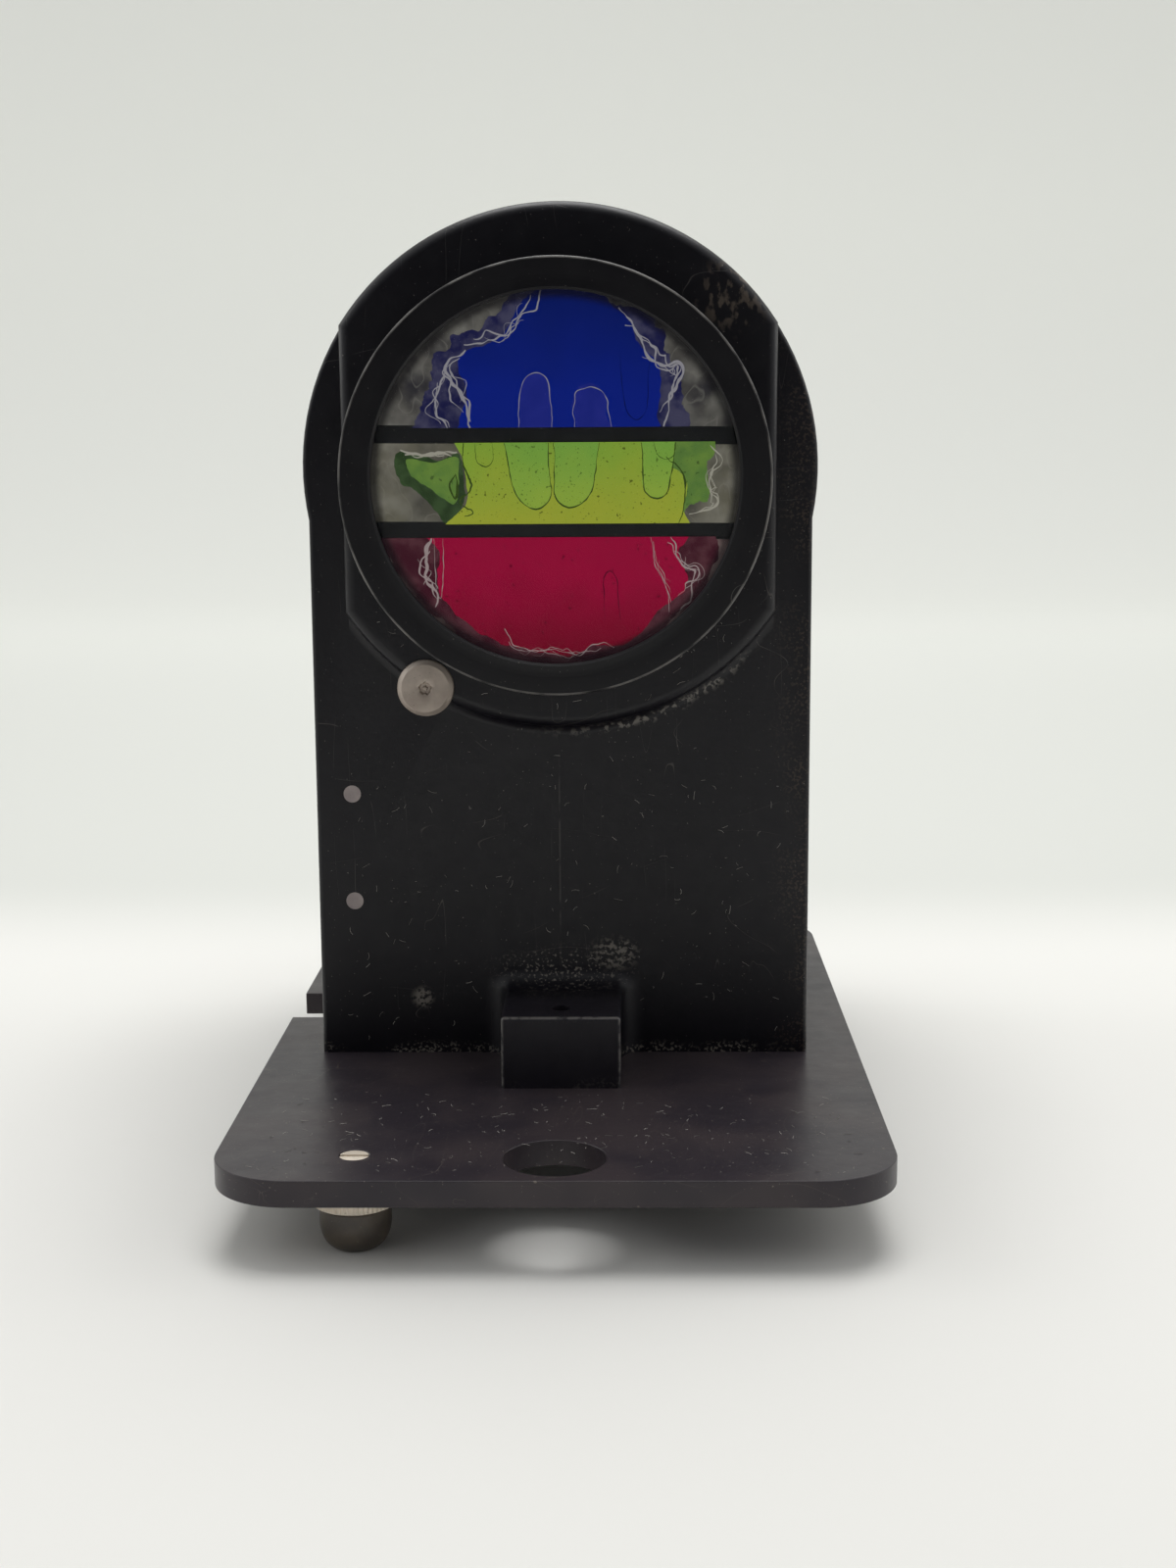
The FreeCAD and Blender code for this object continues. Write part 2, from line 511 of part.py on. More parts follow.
def make_housing():
    """Moulded housing: arched box, open at the rear, with a flatted boss and a foot lug in front."""
    body = doc.addObject("PartDesign::Body", "housing")
    outline = new_sketch(body, "housing_outline", "XZ_Plane", f"-{FACE}")
    draw_arch(outline, SIDE, PLATE_TOP, ARCH, "arch_radius")
    pad(body, outline, "housing_depth", backwards=True)
    face_at = number(FACE)
    low = number(PLATE_TOP)
    boss = new_sketch(body, "boss_outline", "XZ_Plane", f"-{FACE} - 1")
    draw_flatted_disc(boss, ARCH, "boss_radius", "boss_flat_offset")
    pad(body, boss, "boss_height + 1")
    boss_edge_at = number(BOSS_FRONT)
    round_edges(body, "boss_edge", "boss_round", lambda edge: all(
        same(vertex.Y, boss_edge_at) for vertex in edge.Vertexes))
    round_edges(body, "front_edges", "edge_round", lambda edge: (
        edge.BoundBox.ZLength > 1
        and all(same(vertex.Y, face_at) and same(abs(vertex.X), number(SIDE)) for vertex in edge.Vertexes)))
    boss_low = number(f"{ARCH} - boss_radius")
    round_edges(body, "boss_root", "boss_root_round", lambda edge: (
        all(same(vertex.Y, face_at) for vertex in edge.Vertexes) and same(edge.BoundBox.ZMin, boss_low)))
    lug = new_sketch(body, "lug_outline", "XZ_Plane", f"-{FACE}")
    draw_rectangle(lug, "-lug_width / 2", PLATE_TOP, "lug_width / 2", f"{PLATE_TOP} + lug_height")
    pad(body, lug, "lug_length")
    half_lug = number("lug_width / 2")
    lug_top = number(f"{PLATE_TOP} + lug_height")
    lug_front = number(f"{FACE} - lug_length")

    def lug_root(edge):
        """Edges where the lug meets the front face."""
        on_face = all(same(vertex.Y, face_at) for vertex in edge.Vertexes)
        beside_lug = max(-edge.BoundBox.XMin, edge.BoundBox.XMax) < half_lug + 0.01
        above_plate = edge.BoundBox.ZMax > low + 0.01
        return on_face and beside_lug and above_plate and edge.BoundBox.ZMax < lug_top + 0.01

    def lug_rim(edge):
        """Edges round the lug's front, and its long top edges."""
        at_front = all(same(vertex.Y, lug_front) for vertex in edge.Vertexes)
        on_top = all(same(vertex.Z, lug_top) for vertex in edge.Vertexes)
        on_plate = edge.BoundBox.ZMax < low + 0.01
        forward = edge.BoundBox.YMin < lug_front + 0.01
        return (at_front or (on_top and forward)) and not on_plate

    round_edges(body, "lug_rims", "lug_edge_round", lug_rim)
    round_edges(body, "lug_roots", "lug_root_round", lug_root)
    cavity = new_sketch(body, "cavity", "XZ_Plane", f"-{RIM}")
    draw_arch(cavity, INSIDE, f"{PLATE_TOP} + wall_thickness", ARCH, "arch_radius - wall_thickness")
    pocket(body, cavity, "housing_depth - front_wall", backwards=True)
    posts = new_sketch(body, "board_posts", "XZ_Plane", f"-{WALL_BACK} + 1")
    for side in ("-", ""):
        draw_circle(posts, f"{side}post_offset", f"{PLATE_TOP} + post_height", "post_radius")
    pad(body, posts, "1 + flange_thickness + baffle_length", backwards=True)
    bosses = new_sketch(body, "screw_bosses", "XY_Plane", PLATE_TOP)
    for x, y in housing_screw_places()[1:]:
        draw_circle(bosses, x, y, "screw_boss_radius")
    pad(body, bosses, "screw_boss_height")
    keeper = new_sketch(body, "latch_keeper", "XZ_Plane", f"-{KEEPER_FRONT}")
    draw_rectangle(keeper, f"-{INSIDE} - 1", f"{LATCH_Z} - keeper_height / 2",
                   f"-{INSIDE} + keeper_reach", f"{LATCH_Z} + keeper_height / 2")
    pad(body, keeper, "keeper_depth", backwards=True)
    bore = new_sketch(body, "barrel_bore", "XZ_Plane", f"-{BOSS_FRONT}")
    draw_circle(bore, "0", LENS, "barrel_radius + barrel_fit")
    pocket(body, bore, "boss_height + front_wall + 1")
    pin_seat = new_sketch(body, "pin_seat", "XZ_Plane", f"-{BOSS_FRONT}")
    draw_circle(pin_seat, "-pin_offset", f"{PLATE_TOP} + pin_height", "pin_radius + pin_clearance")
    pocket(body, pin_seat, "boss_height")
    front_holes = new_sketch(body, "front_holes", "XZ_Plane", f"-{FACE}")
    draw_circle(front_holes, "-pin_offset", f"{PLATE_TOP} + pin_height", "pin_shank_radius + pin_clearance")
    for height in ("lower_rivet_height", "upper_rivet_height"):
        draw_circle(front_holes, RIVET_X, f"{PLATE_TOP} + {height}", "rivet_diameter / 2")
    pocket(body, front_holes, "front_wall + 1")
    post_holes = new_sketch(body, "post_holes", "XZ_Plane", f"-{BOARD_FRONT}")
    for side in ("-", ""):
        draw_circle(post_holes, f"{side}post_offset", f"{PLATE_TOP} + post_height",
                    "screw_diameter / 2 + screw_clearance")
    pocket(body, post_holes, "post_screw_reach + 1", backwards=True)
    foot_holes = new_sketch(body, "foot_screw_holes", "XY_Plane", PLATE_TOP)
    for x, y in housing_screw_places():
        draw_circle(foot_holes, x, y, "screw_diameter / 2 + screw_clearance")
    pocket(body, foot_holes, "screw_boss_height + 1", backwards=True)
    leaf_holes = new_sketch(body, "leaf_screw_holes", "YZ_Plane", SIDE)
    for z in leaf_screw_heights():
        draw_circle(leaf_holes, f"{RIM} - leaf_width / 2", z, "leaf_screw_radius + screw_clearance")
    pocket(body, leaf_holes, "leaf_screw_reach + 0.4")
    return node(body, "housing")


def leaf_screw_heights():
    """Heights of the two screws in each hinge leaf."""
    return [f"{HINGE_LOW} + leaf_screw_inset", f"{HINGE_LOW} + hinge_height - leaf_screw_inset"]


def make_lens_barrel():
    """Turned barrel with a front lip and a flange that bears behind the front wall."""
    back = BARREL_BACK
    return revolved("lens_barrel", [
        (BARREL_FRONT, "aperture_radius + barrel_edge / 2"),
        (BARREL_FRONT, "barrel_radius - barrel_edge"),
        (f"{BARREL_FRONT} + barrel_edge", "barrel_radius"),
        (WALL_BACK, "barrel_radius"),
        (WALL_BACK, "flange_radius"),
        (back, "flange_radius"),
        (back, "barrel_bore_radius"),
        (GLASS_FRONT, "barrel_bore_radius"),
        (GLASS_FRONT, "aperture_radius"),
        (f"{BARREL_FRONT} + barrel_edge / 2", "aperture_radius"),
    ])


def lens_disc(name, start, thickness, radius=DISC_RADIUS):
    """A disc across the lens axis."""
    return cylinder(name, radius, thickness, "0", start, LENS, "Y")


def tilted(item):
    """Turn a piece of the filter stack about the lens axis; its own frame is centred on that axis."""
    item.Placement.Rotation = Rotation(Vector(0, 1, 0), number("filter_tilt"))
    tie(item, "Placement.Base.z", LENS)
    return item


def filter_slice(label, low, high):
    """The part of the round filter layer that lies between two heights from the lens axis."""
    disc = cylinder(label + "_disc", DISC_RADIUS, "filter_thickness", "0", FILTER_FRONT, "0", "Y")
    band = box(label + "_band", f"-{DISC_RADIUS}", FILTER_FRONT, low, f"2 * {DISC_RADIUS}",
               "filter_thickness", f"({high}) - ({low})")
    return node(tilted(common(label, disc, band)), label)


def make_filter_stack():
    """Front glass, three colour filters parted by two bars, opal diffuser and their ring."""
    node(lens_disc("front_glass", GLASS_FRONT, "glass_thickness"), "front_glass")
    upper_low = "upper_bar_offset - upper_bar_width / 2"
    upper_high = "upper_bar_offset + upper_bar_width / 2"
    lower_low = "-lower_bar_offset - lower_bar_width / 2"
    lower_high = "-lower_bar_offset + lower_bar_width / 2"
    filter_slice("blue_filter", upper_high, DISC_RADIUS)
    filter_slice("upper_divider_bar", upper_low, upper_high)
    filter_slice("green_filter", lower_high, upper_low)
    filter_slice("lower_divider_bar", lower_low, lower_high)
    filter_slice("red_filter", f"-{DISC_RADIUS}", lower_low)
    node(lens_disc("opal_diffuser", DIFFUSER_FRONT, "diffuser_thickness"), "opal_diffuser")
    outer = lens_disc("ring_outer", RING_FRONT, "ring_thickness")
    inner = lens_disc("ring_inner", f"{RING_FRONT} - 1", "ring_thickness + 2", f"{DISC_RADIUS} - ring_width")
    node(cut("filter_retaining_ring", outer, inner), "filter_retaining_ring")


def lamps():
    """Name and height from the lens axis of each lamp, top to bottom."""
    return [("upper", "upper_lamp_offset"), ("middle", "middle_lamp_offset"), ("lower", "lower_lamp_offset")]


def make_light_baffle():
    """Round tube behind the barrel with two shelves that keep the three lamps apart."""
    outer = lens_disc("baffle_outer", BARREL_BACK, "baffle_length", "baffle_radius")
    inner = lens_disc("baffle_inner", f"{BARREL_BACK} - 1", "baffle_length + 2", "baffle_radius - baffle_wall")
    tube = cut("baffle_tube", outer, inner)
    shelves = []
    for name, height in (("upper_shelf", "upper_bar_offset"), ("lower_shelf", "-lower_bar_offset")):
        shelf = box(name, "-baffle_radius", BARREL_BACK, f"{LENS} + {height} - partition_thickness / 2",
                    "2 * baffle_radius", "baffle_length", "partition_thickness")
        core = lens_disc(name + "_core", BARREL_BACK, "baffle_length", "baffle_radius - baffle_wall / 2")
        shelves.append(common(name + "_trimmed", shelf, core))
    return node(joined("light_baffle", tube, *shelves), "light_baffle")


def make_lamp_board():
    """Sheet board that closes the baffle and carries the three lamp holders."""
    disc = lens_disc("board_disc", BOARD_FRONT, "board_thickness", "board_radius")
    tab = box("board_tab", "-board_tab_width / 2", BOARD_FRONT,
              f"{PLATE_TOP} + post_height - board_tab_height / 2",
              "board_tab_width", "board_thickness", "board_tab_height")
    holes = []
    for side in ("-", ""):
        name = "board_hole_left" if side else "board_hole_right"
        holes.append(cylinder(name, "screw_diameter / 2 + screw_clearance", "board_thickness + 2",
                              f"{side}post_offset", f"{BOARD_FRONT} - 1", f"{PLATE_TOP} + post_height", "Y"))
    for name, height in lamps():
        holes.append(cylinder(f"board_hole_{name}", "holder_tail_radius + screw_clearance",
                              "board_thickness + 2", "0", f"{BOARD_FRONT} - 1", f"{LENS} + {height}", "Y"))
    return node(cut("lamp_board", joined("board_blank", disc, tab), *holes), "lamp_board")


def make_lamps():
    """For each lamp: a moulded holder with its contact tail, a brass cap and a glass bulb."""
    for name, height in lamps():
        z = f"{LENS} + {height}"
        start = f"{BOARD_FRONT} - holder_length"
        shell = cylinder(f"{name}_holder_shell", "holder_radius", "holder_length", "0", start, z, "Y")
        tail = cylinder(f"{name}_holder_tail", "holder_tail_radius",
                        "board_thickness + holder_tail_length", "0", BOARD_FRONT, z, "Y")
        socket = cylinder(f"{name}_holder_socket", "cap_radius + cap_clearance", "cap_length + 1",
                          "0", f"{start} - 1", z, "Y")
        node(cut(f"{name}_lamp_holder", joined(f"{name}_holder_blank", shell, tail), socket),
             f"{name}_lamp_holder")
        node(cylinder(f"{name}_bulb_cap", "cap_radius", "cap_length", "0", start, z, "Y"),
             f"{name}_bulb_cap")
        neck = cylinder(f"{name}_bulb_neck", "bulb_radius - 0.5", "bulb_length", "0",
                        f"{start} - bulb_length", z, "Y")
        tip = doc.addObject("Part::Sphere", f"{name}_bulb_tip")
        tie(tip, "Radius", "bulb_radius")
        place(tip, "0", f"{start} - bulb_length", z)
        node(joined(f"{name}_bulb", neck, tip), f"{name}_bulb")


def slotted_screw(name, x, y, z, axis, direction, head_radius, head_height, shank_radius, shank_length):
    """A screw whose head sits on x, y, z; the shank runs along +axis for 1 and along -axis for -1."""
    steps = {"X": (1, 0, 0), "Y": (0, 1, 0), "Z": (0, 0, 1)}[axis]

    def moved(text):
        """The head's seat moved against the shank's direction by a length."""
        sign = "-" if direction > 0 else "+"
        return [f"{value} {sign} ({text})" if step else value for value, step in zip((x, y, z), steps)]

    def start(length, forward):
        """Start of a cylinder of this length that lies on the shank's side, or on the head's."""
        towards = direction > 0
        if forward:
            return [x, y, z] if towards else [
                f"{value} - ({length})" if step else value for value, step in zip((x, y, z), steps)]
        return moved(length) if towards else [x, y, z]

    head = cylinder(name + "_head", head_radius, head_height, *start(head_height, False), axis)
    shank = cylinder(name + "_shank", shank_radius, shank_length, *start(shank_length, True), axis)
    blank = joined(name + "_blank", head, shank)
    depth = f"({head_height}) / 2"
    width = f"({head_radius}) * 0.3"
    reach = f"({head_radius}) * 2 + 1"
    low = start(head_height, False)
    half_width, half_reach = f"({width}) / 2", f"({reach}) / 2"
    if axis == "Z":
        z_low = low[2] if direction > 0 else f"{low[2]} + {depth}"
        slot = box(name + "_slot", f"{x} - {half_reach}", f"{y} - {half_width}", z_low, reach, width, depth)
    elif axis == "Y":
        y_low = low[1] if direction > 0 else f"{low[1]} + {depth}"
        slot = box(name + "_slot", f"{x} - {half_reach}", y_low, f"{z} - {half_width}", reach, depth, width)
    else:
        x_low = low[0] if direction > 0 else f"{low[0]} + {depth}"
        slot = box(name + "_slot", x_low, f"{y} - {half_reach}", f"{z} - {half_width}", depth, reach, width)
    return cut(name, blank, slot)


def make_screws():
    """Screws up through the plate, and screws that hold the lamp board to its posts."""
    group_items = []
    for index, (x, y) in enumerate(housing_screw_places(), start=1):
        group_items.append(slotted_screw(
            f"housing_screw_{index}", x, y, PLATE_BOTTOM, "Z", 1, "screw_head_diameter / 2",
            "screw_head_height", "screw_diameter / 2", "plate_thickness + screw_reach"))
    node(group("housing_screws", *group_items), "housing_screws")
    board_items = []
    for index, side in enumerate(("-", ""), start=1):
        board_items.append(slotted_screw(
            f"board_screw_{index}", f"{side}post_offset", BOARD_BACK, f"{PLATE_TOP} + post_height", "Y", -1,
            "screw_head_diameter / 2", "screw_head_height", "screw_diameter / 2",
            "board_thickness + post_screw_reach"))
    node(group("board_screws", *board_items), "board_screws")


def make_terminals():
    """Angle bracket riveted inside the front wall, with the terminal block and its screws."""
    left = f"-{INSIDE} + bracket_wall_gap"
    low = f"{PLATE_TOP} + bracket_bottom"
    face_leg = box("bracket_face_leg", left, WALL_BACK, low, "bracket_width", "bracket_thickness",
                   "bracket_height")
    back_leg = box("bracket_back_leg", f"{BLOCK_FACE} - bracket_thickness", WALL_BACK, low,
                   "bracket_thickness", "bracket_length", "bracket_height")
    holes = []
    rivets = []
    for name, height in (("lower", "lower_rivet_height"), ("upper", "upper_rivet_height")):
        z = f"{PLATE_TOP} + {height}"
        holes.append(cylinder(f"{name}_rivet_hole", "rivet_diameter / 2", "bracket_thickness + 2",
                              RIVET_X, f"{WALL_BACK} - 1", z, "Y"))
        shank = cylinder(f"{name}_rivet_shank", "rivet_diameter / 2", "front_wall + bracket_thickness",
                         RIVET_X, FACE, z, "Y")
        head = cylinder(f"{name}_rivet_head", "rivet_head_radius", "rivet_head_height",
                        RIVET_X, f"{WALL_BACK} + bracket_thickness", z, "Y")
        rivets.append(joined(f"{name}_rivet", shank, head))
    node(cut("terminal_bracket", joined("bracket_blank", face_leg, back_leg), *holes), "terminal_bracket")
    node(group("bracket_rivets", *rivets), "bracket_rivets")
    block_low = f"{low} + (bracket_height - block_height) / 2"
    block_start = f"{WALL_BACK} + bracket_length - block_length"
    block = box("block_blank", BLOCK_FACE, block_start, block_low, "block_thickness", "block_length",
                "block_height")
    screws = []
    threads = []
    for index in range(4):
        y = f"{block_start} + block_length / 2"
        z = f"{block_low} + block_height / 2 + ({index} - 1.5) * terminal_pitch"
        x = f"{BLOCK_FACE} + block_thickness"
        threads.append(cylinder(f"terminal_hole_{index}", "terminal_shank_radius + screw_clearance",
                                "terminal_shank_length + 1", f"{x} - terminal_shank_length", y, z, "X"))
        screws.append(slotted_screw(
            f"terminal_screw_{index}", x, y, z, "X", -1, "terminal_head_radius", "terminal_head_height",
            "terminal_shank_radius", "terminal_shank_length"))
    node(cut("terminal_block", block, *threads), "terminal_block")
    node(group("terminal_screws", *screws), "terminal_screws")


def make_common_strip():
    """Brass strip on the board's back that joins the shells of the three lamp holders."""
    return node(box("common_strip", "strip_offset - strip_width / 2", BOARD_BACK,
                    f"{LENS} + lower_lamp_offset - strip_width", "strip_width", "strip_thickness",
                    "upper_lamp_offset - lower_lamp_offset + 2 * strip_width"), "common_strip")


def bent_wire(label, points, radius, bend):
    """A round wire along straight runs joined by tangent arcs."""
    corners = [Vector(*[number(value) for value in point]) for point in points]
    edges = []
    start = corners[0]
    for before, corner, after in zip(corners, corners[1:], corners[2:]):
        arriving = (corner - before).normalize()
        leaving = (after - corner).normalize()
        turn = arriving.getAngle(leaving)
        back_off = bend * math.tan(turn / 2)
        first = corner - arriving * back_off
        last = corner + leaving * back_off
        inward = (leaving - arriving).normalize()
        middle = corner + inward * (bend / math.cos(turn / 2) - bend)
        edges.append(Part.LineSegment(start, first).toShape())
        edges.append(Part.Arc(first, middle, last).toShape())
        start = last
    edges.append(Part.LineSegment(start, corners[-1]).toShape())
    direction = corners[1] - corners[0]
    ring = Part.Wire([Part.Circle(corners[0], direction, radius).toShape()])
    item = doc.addObject("Part::Feature", label)
    item.Shape = Part.Wire(edges).makePipeShell([ring], True, True)
    item.Placement = FreeCAD.Placement()
    return node(item, label)


def make_wires():
    """Three lamp wires and the common wire, each from its terminal to its tail or strip."""
    block_low = f"{PLATE_TOP} + bracket_bottom + (bracket_height - block_height) / 2"
    x = f"{BLOCK_FACE} + block_thickness / 2"
    y = f"{WALL_BACK} + bracket_length"
    ends = [
        ("red_lamp_wire", "0", f"{BOARD_BACK} + holder_tail_length", f"{LENS} + lower_lamp_offset"),
        ("green_lamp_wire", "0", f"{BOARD_BACK} + holder_tail_length", f"{LENS} + middle_lamp_offset"),
        ("blue_lamp_wire", "0", f"{BOARD_BACK} + holder_tail_length", f"{LENS} + upper_lamp_offset"),
        ("common_wire", "strip_offset", f"{BOARD_BACK} + strip_thickness", f"{LENS} + lower_lamp_offset"),
    ]
    for index, (label, x_end, y_end, z_end) in enumerate(ends):
        z = f"{block_low} + block_height / 2 + ({3 - index} - 1.5) * terminal_pitch"
        back = f"{BOARD_BACK} + wire_first_run + {index} * wire_step"
        bent_wire(label, [(x, y, z), (x, back, z), (x_end, back, z_end), (x_end, y_end, z_end)],
                  number("wire_radius"), number("wire_bend"))


def make_keeper_pin():
    """Headed pin let into the edge of the boss, with its nut inside the housing."""
    z = f"{PLATE_TOP} + pin_height"
    front = f"{BOSS_FRONT} - pin_stand"
    head = cylinder("pin_head", "pin_radius", "boss_height + pin_stand - pin_edge", "-pin_offset",
                    f"{front} + pin_edge", z, "Y")
    edge = cone("pin_head_edge", "pin_radius - pin_edge", "pin_radius", "pin_edge", "-pin_offset", front, z, "Y")
    shank = cylinder("pin_shank", "pin_shank_radius", "front_wall + pin_nut_height", "-pin_offset", FACE, z, "Y")
    node(joined("keeper_pin", head, edge, shank), "keeper_pin")
    nut = doc.addObject("Part::Prism", "pin_nut_blank")
    nut.Polygon = 6
    tie(nut, "Circumradius", "pin_nut_radius")
    tie(nut, "Height", "pin_nut_height")
    place(nut, "-pin_offset", WALL_BACK, z, "Y")
    thread = cylinder("pin_nut_thread", "pin_shank_radius + pin_clearance", "pin_nut_height + 2",
                      "-pin_offset", f"{WALL_BACK} - 1", z, "Y")
    node(cut("keeper_pin_nut", nut, thread), "keeper_pin_nut")


def make_rear_cover():
    """Arched cover plate with a sunk panel, a latch hole and blind holes for the hinge leaf."""
    body = doc.addObject("PartDesign::Body", "rear_cover")
    outline = new_sketch(body, "cover_outline", "XZ_Plane", f"-{COVER_FRONT}")
    draw_arch(outline, SIDE, f"{PLATE_TOP} + cover_gap", ARCH, "arch_radius")
    pad(body, outline, "cover_thickness", backwards=True)
    back = number(COVER_BACK)
    round_edges(body, "cover_edges", "edge_round", lambda edge: all(
        same(vertex.Y, back) for vertex in edge.Vertexes))
    panel = new_sketch(body, "cover_panel", "XZ_Plane", f"-{COVER_BACK}")
    draw_arch(panel, f"{SIDE} - leaf_width - 2", f"{PLATE_TOP} + cover_panel_inset", ARCH,
              "arch_radius - cover_panel_inset")
    pocket(body, panel, "cover_panel_depth", backwards=True)
    pad_round = new_sketch(body, "latch_pad", "XZ_Plane", f"-{COVER_BACK} + cover_panel_depth")
    draw_circle(pad_round, "-latch_offset", LATCH_Z, "knob_radius + 1.5")
    pad(body, pad_round, "cover_panel_depth", backwards=True)
    hole = new_sketch(body, "latch_hole", "XZ_Plane", f"-{COVER_BACK}")
    draw_circle(hole, "-latch_offset", LATCH_Z, "latch_shaft_radius + latch_clearance")
    pocket(body, hole, "cover_thickness + 1", backwards=True)
    screws = new_sketch(body, "cover_screw_holes", "XZ_Plane", f"-{COVER_BACK}")
    for z in leaf_screw_heights():
        draw_circle(screws, f"{SIDE} - leaf_width / 2", z, "leaf_screw_radius + screw_clearance")
    pocket(body, screws, "leaf_screw_reach + 0.4", backwards=True)
    return node(body, "rear_cover")


def knuckle(name, start, length):
    """One hinge knuckle, before it is bored for the pin."""
    return cylinder(name, "knuckle_radius", length, HINGE_X, HINGE_Y, start)


def make_hinge():
    """Butt hinge on the right side: two leaves, their pin and their screws."""
    third = "(hinge_height / 3)"
    bore = "hinge_pin_radius + hinge_play"
    leaf = box("housing_leaf_plate", SIDE, f"{RIM} - leaf_width", HINGE_LOW, "leaf_thickness",
               "leaf_width - knuckle_radius - knuckle_gap", "hinge_height")
    pieces = [leaf]
    for name, start in (("lower", HINGE_LOW), ("upper", f"{HINGE_LOW} + 2 * {third}")):
        length = f"{third} - knuckle_gap"
        begin = start if name == "lower" else f"{start} + knuckle_gap"
        pieces.append(knuckle(f"{name}_knuckle", begin, length))
        pieces.append(box(f"{name}_knuckle_web", SIDE, f"{RIM} - knuckle_radius - knuckle_gap - 1", begin,
                          "leaf_thickness", "knuckle_radius + knuckle_gap + 1", length))
    tools = [cylinder("housing_leaf_bore", bore, "hinge_height + 2", HINGE_X, HINGE_Y, f"{HINGE_LOW} - 1")]
    for index, z in enumerate(leaf_screw_heights(), start=1):
        tools.append(cylinder(f"housing_leaf_hole_{index}", "leaf_screw_radius + screw_clearance",
                              "leaf_thickness + 2", f"{SIDE} - 1", f"{RIM} - leaf_width / 2", z, "X"))
    node(cut("hinge_housing_leaf", joined("housing_leaf_blank", *pieces), *tools), "hinge_housing_leaf")

    middle = f"{HINGE_LOW} + {third}"
    plate = box("cover_leaf_plate", f"{SIDE} - leaf_width", COVER_BACK, HINGE_LOW,
                "leaf_width + hinge_axis_gap", "leaf_thickness", "hinge_height")
    web = box("cover_leaf_web", f"{HINGE_X} - leaf_thickness / 2", HINGE_Y, middle, "leaf_thickness",
              f"{COVER_BACK} + leaf_thickness - {HINGE_Y}", third)
    cover_knuckle = knuckle("middle_knuckle", middle, third)
    tools = [cylinder("cover_leaf_bore", bore, "hinge_height + 2", HINGE_X, HINGE_Y, f"{HINGE_LOW} - 1")]
    for index, z in enumerate(leaf_screw_heights(), start=1):
        tools.append(cylinder(f"cover_leaf_hole_{index}", "leaf_screw_radius + screw_clearance",
                              "leaf_thickness + 2", f"{SIDE} - leaf_width / 2", f"{COVER_BACK} - 1", z, "Y"))
    blank = joined("cover_leaf_blank", plate, web, cover_knuckle)
    node(cut("hinge_cover_leaf", blank, *tools), "hinge_cover_leaf")
    node(cylinder("hinge_pin", "hinge_pin_radius", "hinge_height", HINGE_X, HINGE_Y, HINGE_LOW), "hinge_pin")

    side_items = []
    cover_items = []
    for index, z in enumerate(leaf_screw_heights(), start=1):
        side_items.append(slotted_screw(
            f"housing_leaf_screw_{index}", f"{SIDE} + leaf_thickness", f"{RIM} - leaf_width / 2", z, "X", -1,
            "leaf_screw_head_radius", "leaf_screw_head_height", "leaf_screw_radius",
            "leaf_thickness + leaf_screw_reach"))
        cover_items.append(slotted_screw(
            f"cover_leaf_screw_{index}", f"{SIDE} - leaf_width / 2", f"{COVER_BACK} + leaf_thickness", z,
            "Y", -1, "leaf_screw_head_radius", "leaf_screw_head_height", "leaf_screw_radius",
            "leaf_thickness + leaf_screw_reach"))
    node(group("housing_leaf_screws", *side_items), "housing_leaf_screws")
    node(group("cover_leaf_screws", *cover_items), "cover_leaf_screws")


def make_latch():
    """Quarter-turn latch: knob with its shaft, washer inside the cover, and cam behind the keeper."""
    seat = f"{COVER_BACK} + knob_gap"
    head = cylinder("knob_head", "knob_radius", "knob_thickness", "-latch_offset", seat, LATCH_Z, "Y")
    grip = box("knob_grip", "-latch_offset - knob_grip_width / 2", f"{seat} + knob_thickness - 0.5",
               f"{LATCH_Z} - knob_radius + 0.6", "knob_grip_width", "knob_grip_height",
               "2 * knob_radius - 1.2")
    shaft = cylinder("knob_shaft", "latch_shaft_radius", f"{seat} - {CAM_FRONT}", "-latch_offset",
                     CAM_FRONT, LATCH_Z, "Y")
    node(joined("latch_knob", head, grip, shaft), "latch_knob")
    washer_back = f"({COVER_FRONT} - knob_gap)"
    washer = cylinder("washer_blank", "latch_washer_radius", "latch_washer_thickness", "-latch_offset",
                      f"{washer_back} - latch_washer_thickness", LATCH_Z, "Y")
    washer_hole = cylinder("washer_hole", "latch_shaft_radius", "latch_washer_thickness + 2",
                           "-latch_offset", f"{washer_back} - latch_washer_thickness - 1", LATCH_Z, "Y")
    node(cut("latch_washer", washer, washer_hole), "latch_washer")
    arm = box("cam_arm", "-latch_offset - cam_width / 2", CAM_FRONT, LATCH_Z, "cam_width", "cam_thickness",
              "cam_length")
    hub = cylinder("cam_hub", "cam_width / 2 + 1", "cam_thickness", "-latch_offset", CAM_FRONT, LATCH_Z, "Y")
    hole = cylinder("cam_hole", "latch_shaft_radius", "cam_thickness + 2", "-latch_offset",
                    f"{CAM_FRONT} - 1", LATCH_Z, "Y")
    node(cut("latch_cam", joined("cam_blank", arm, hub), hole), "latch_cam")


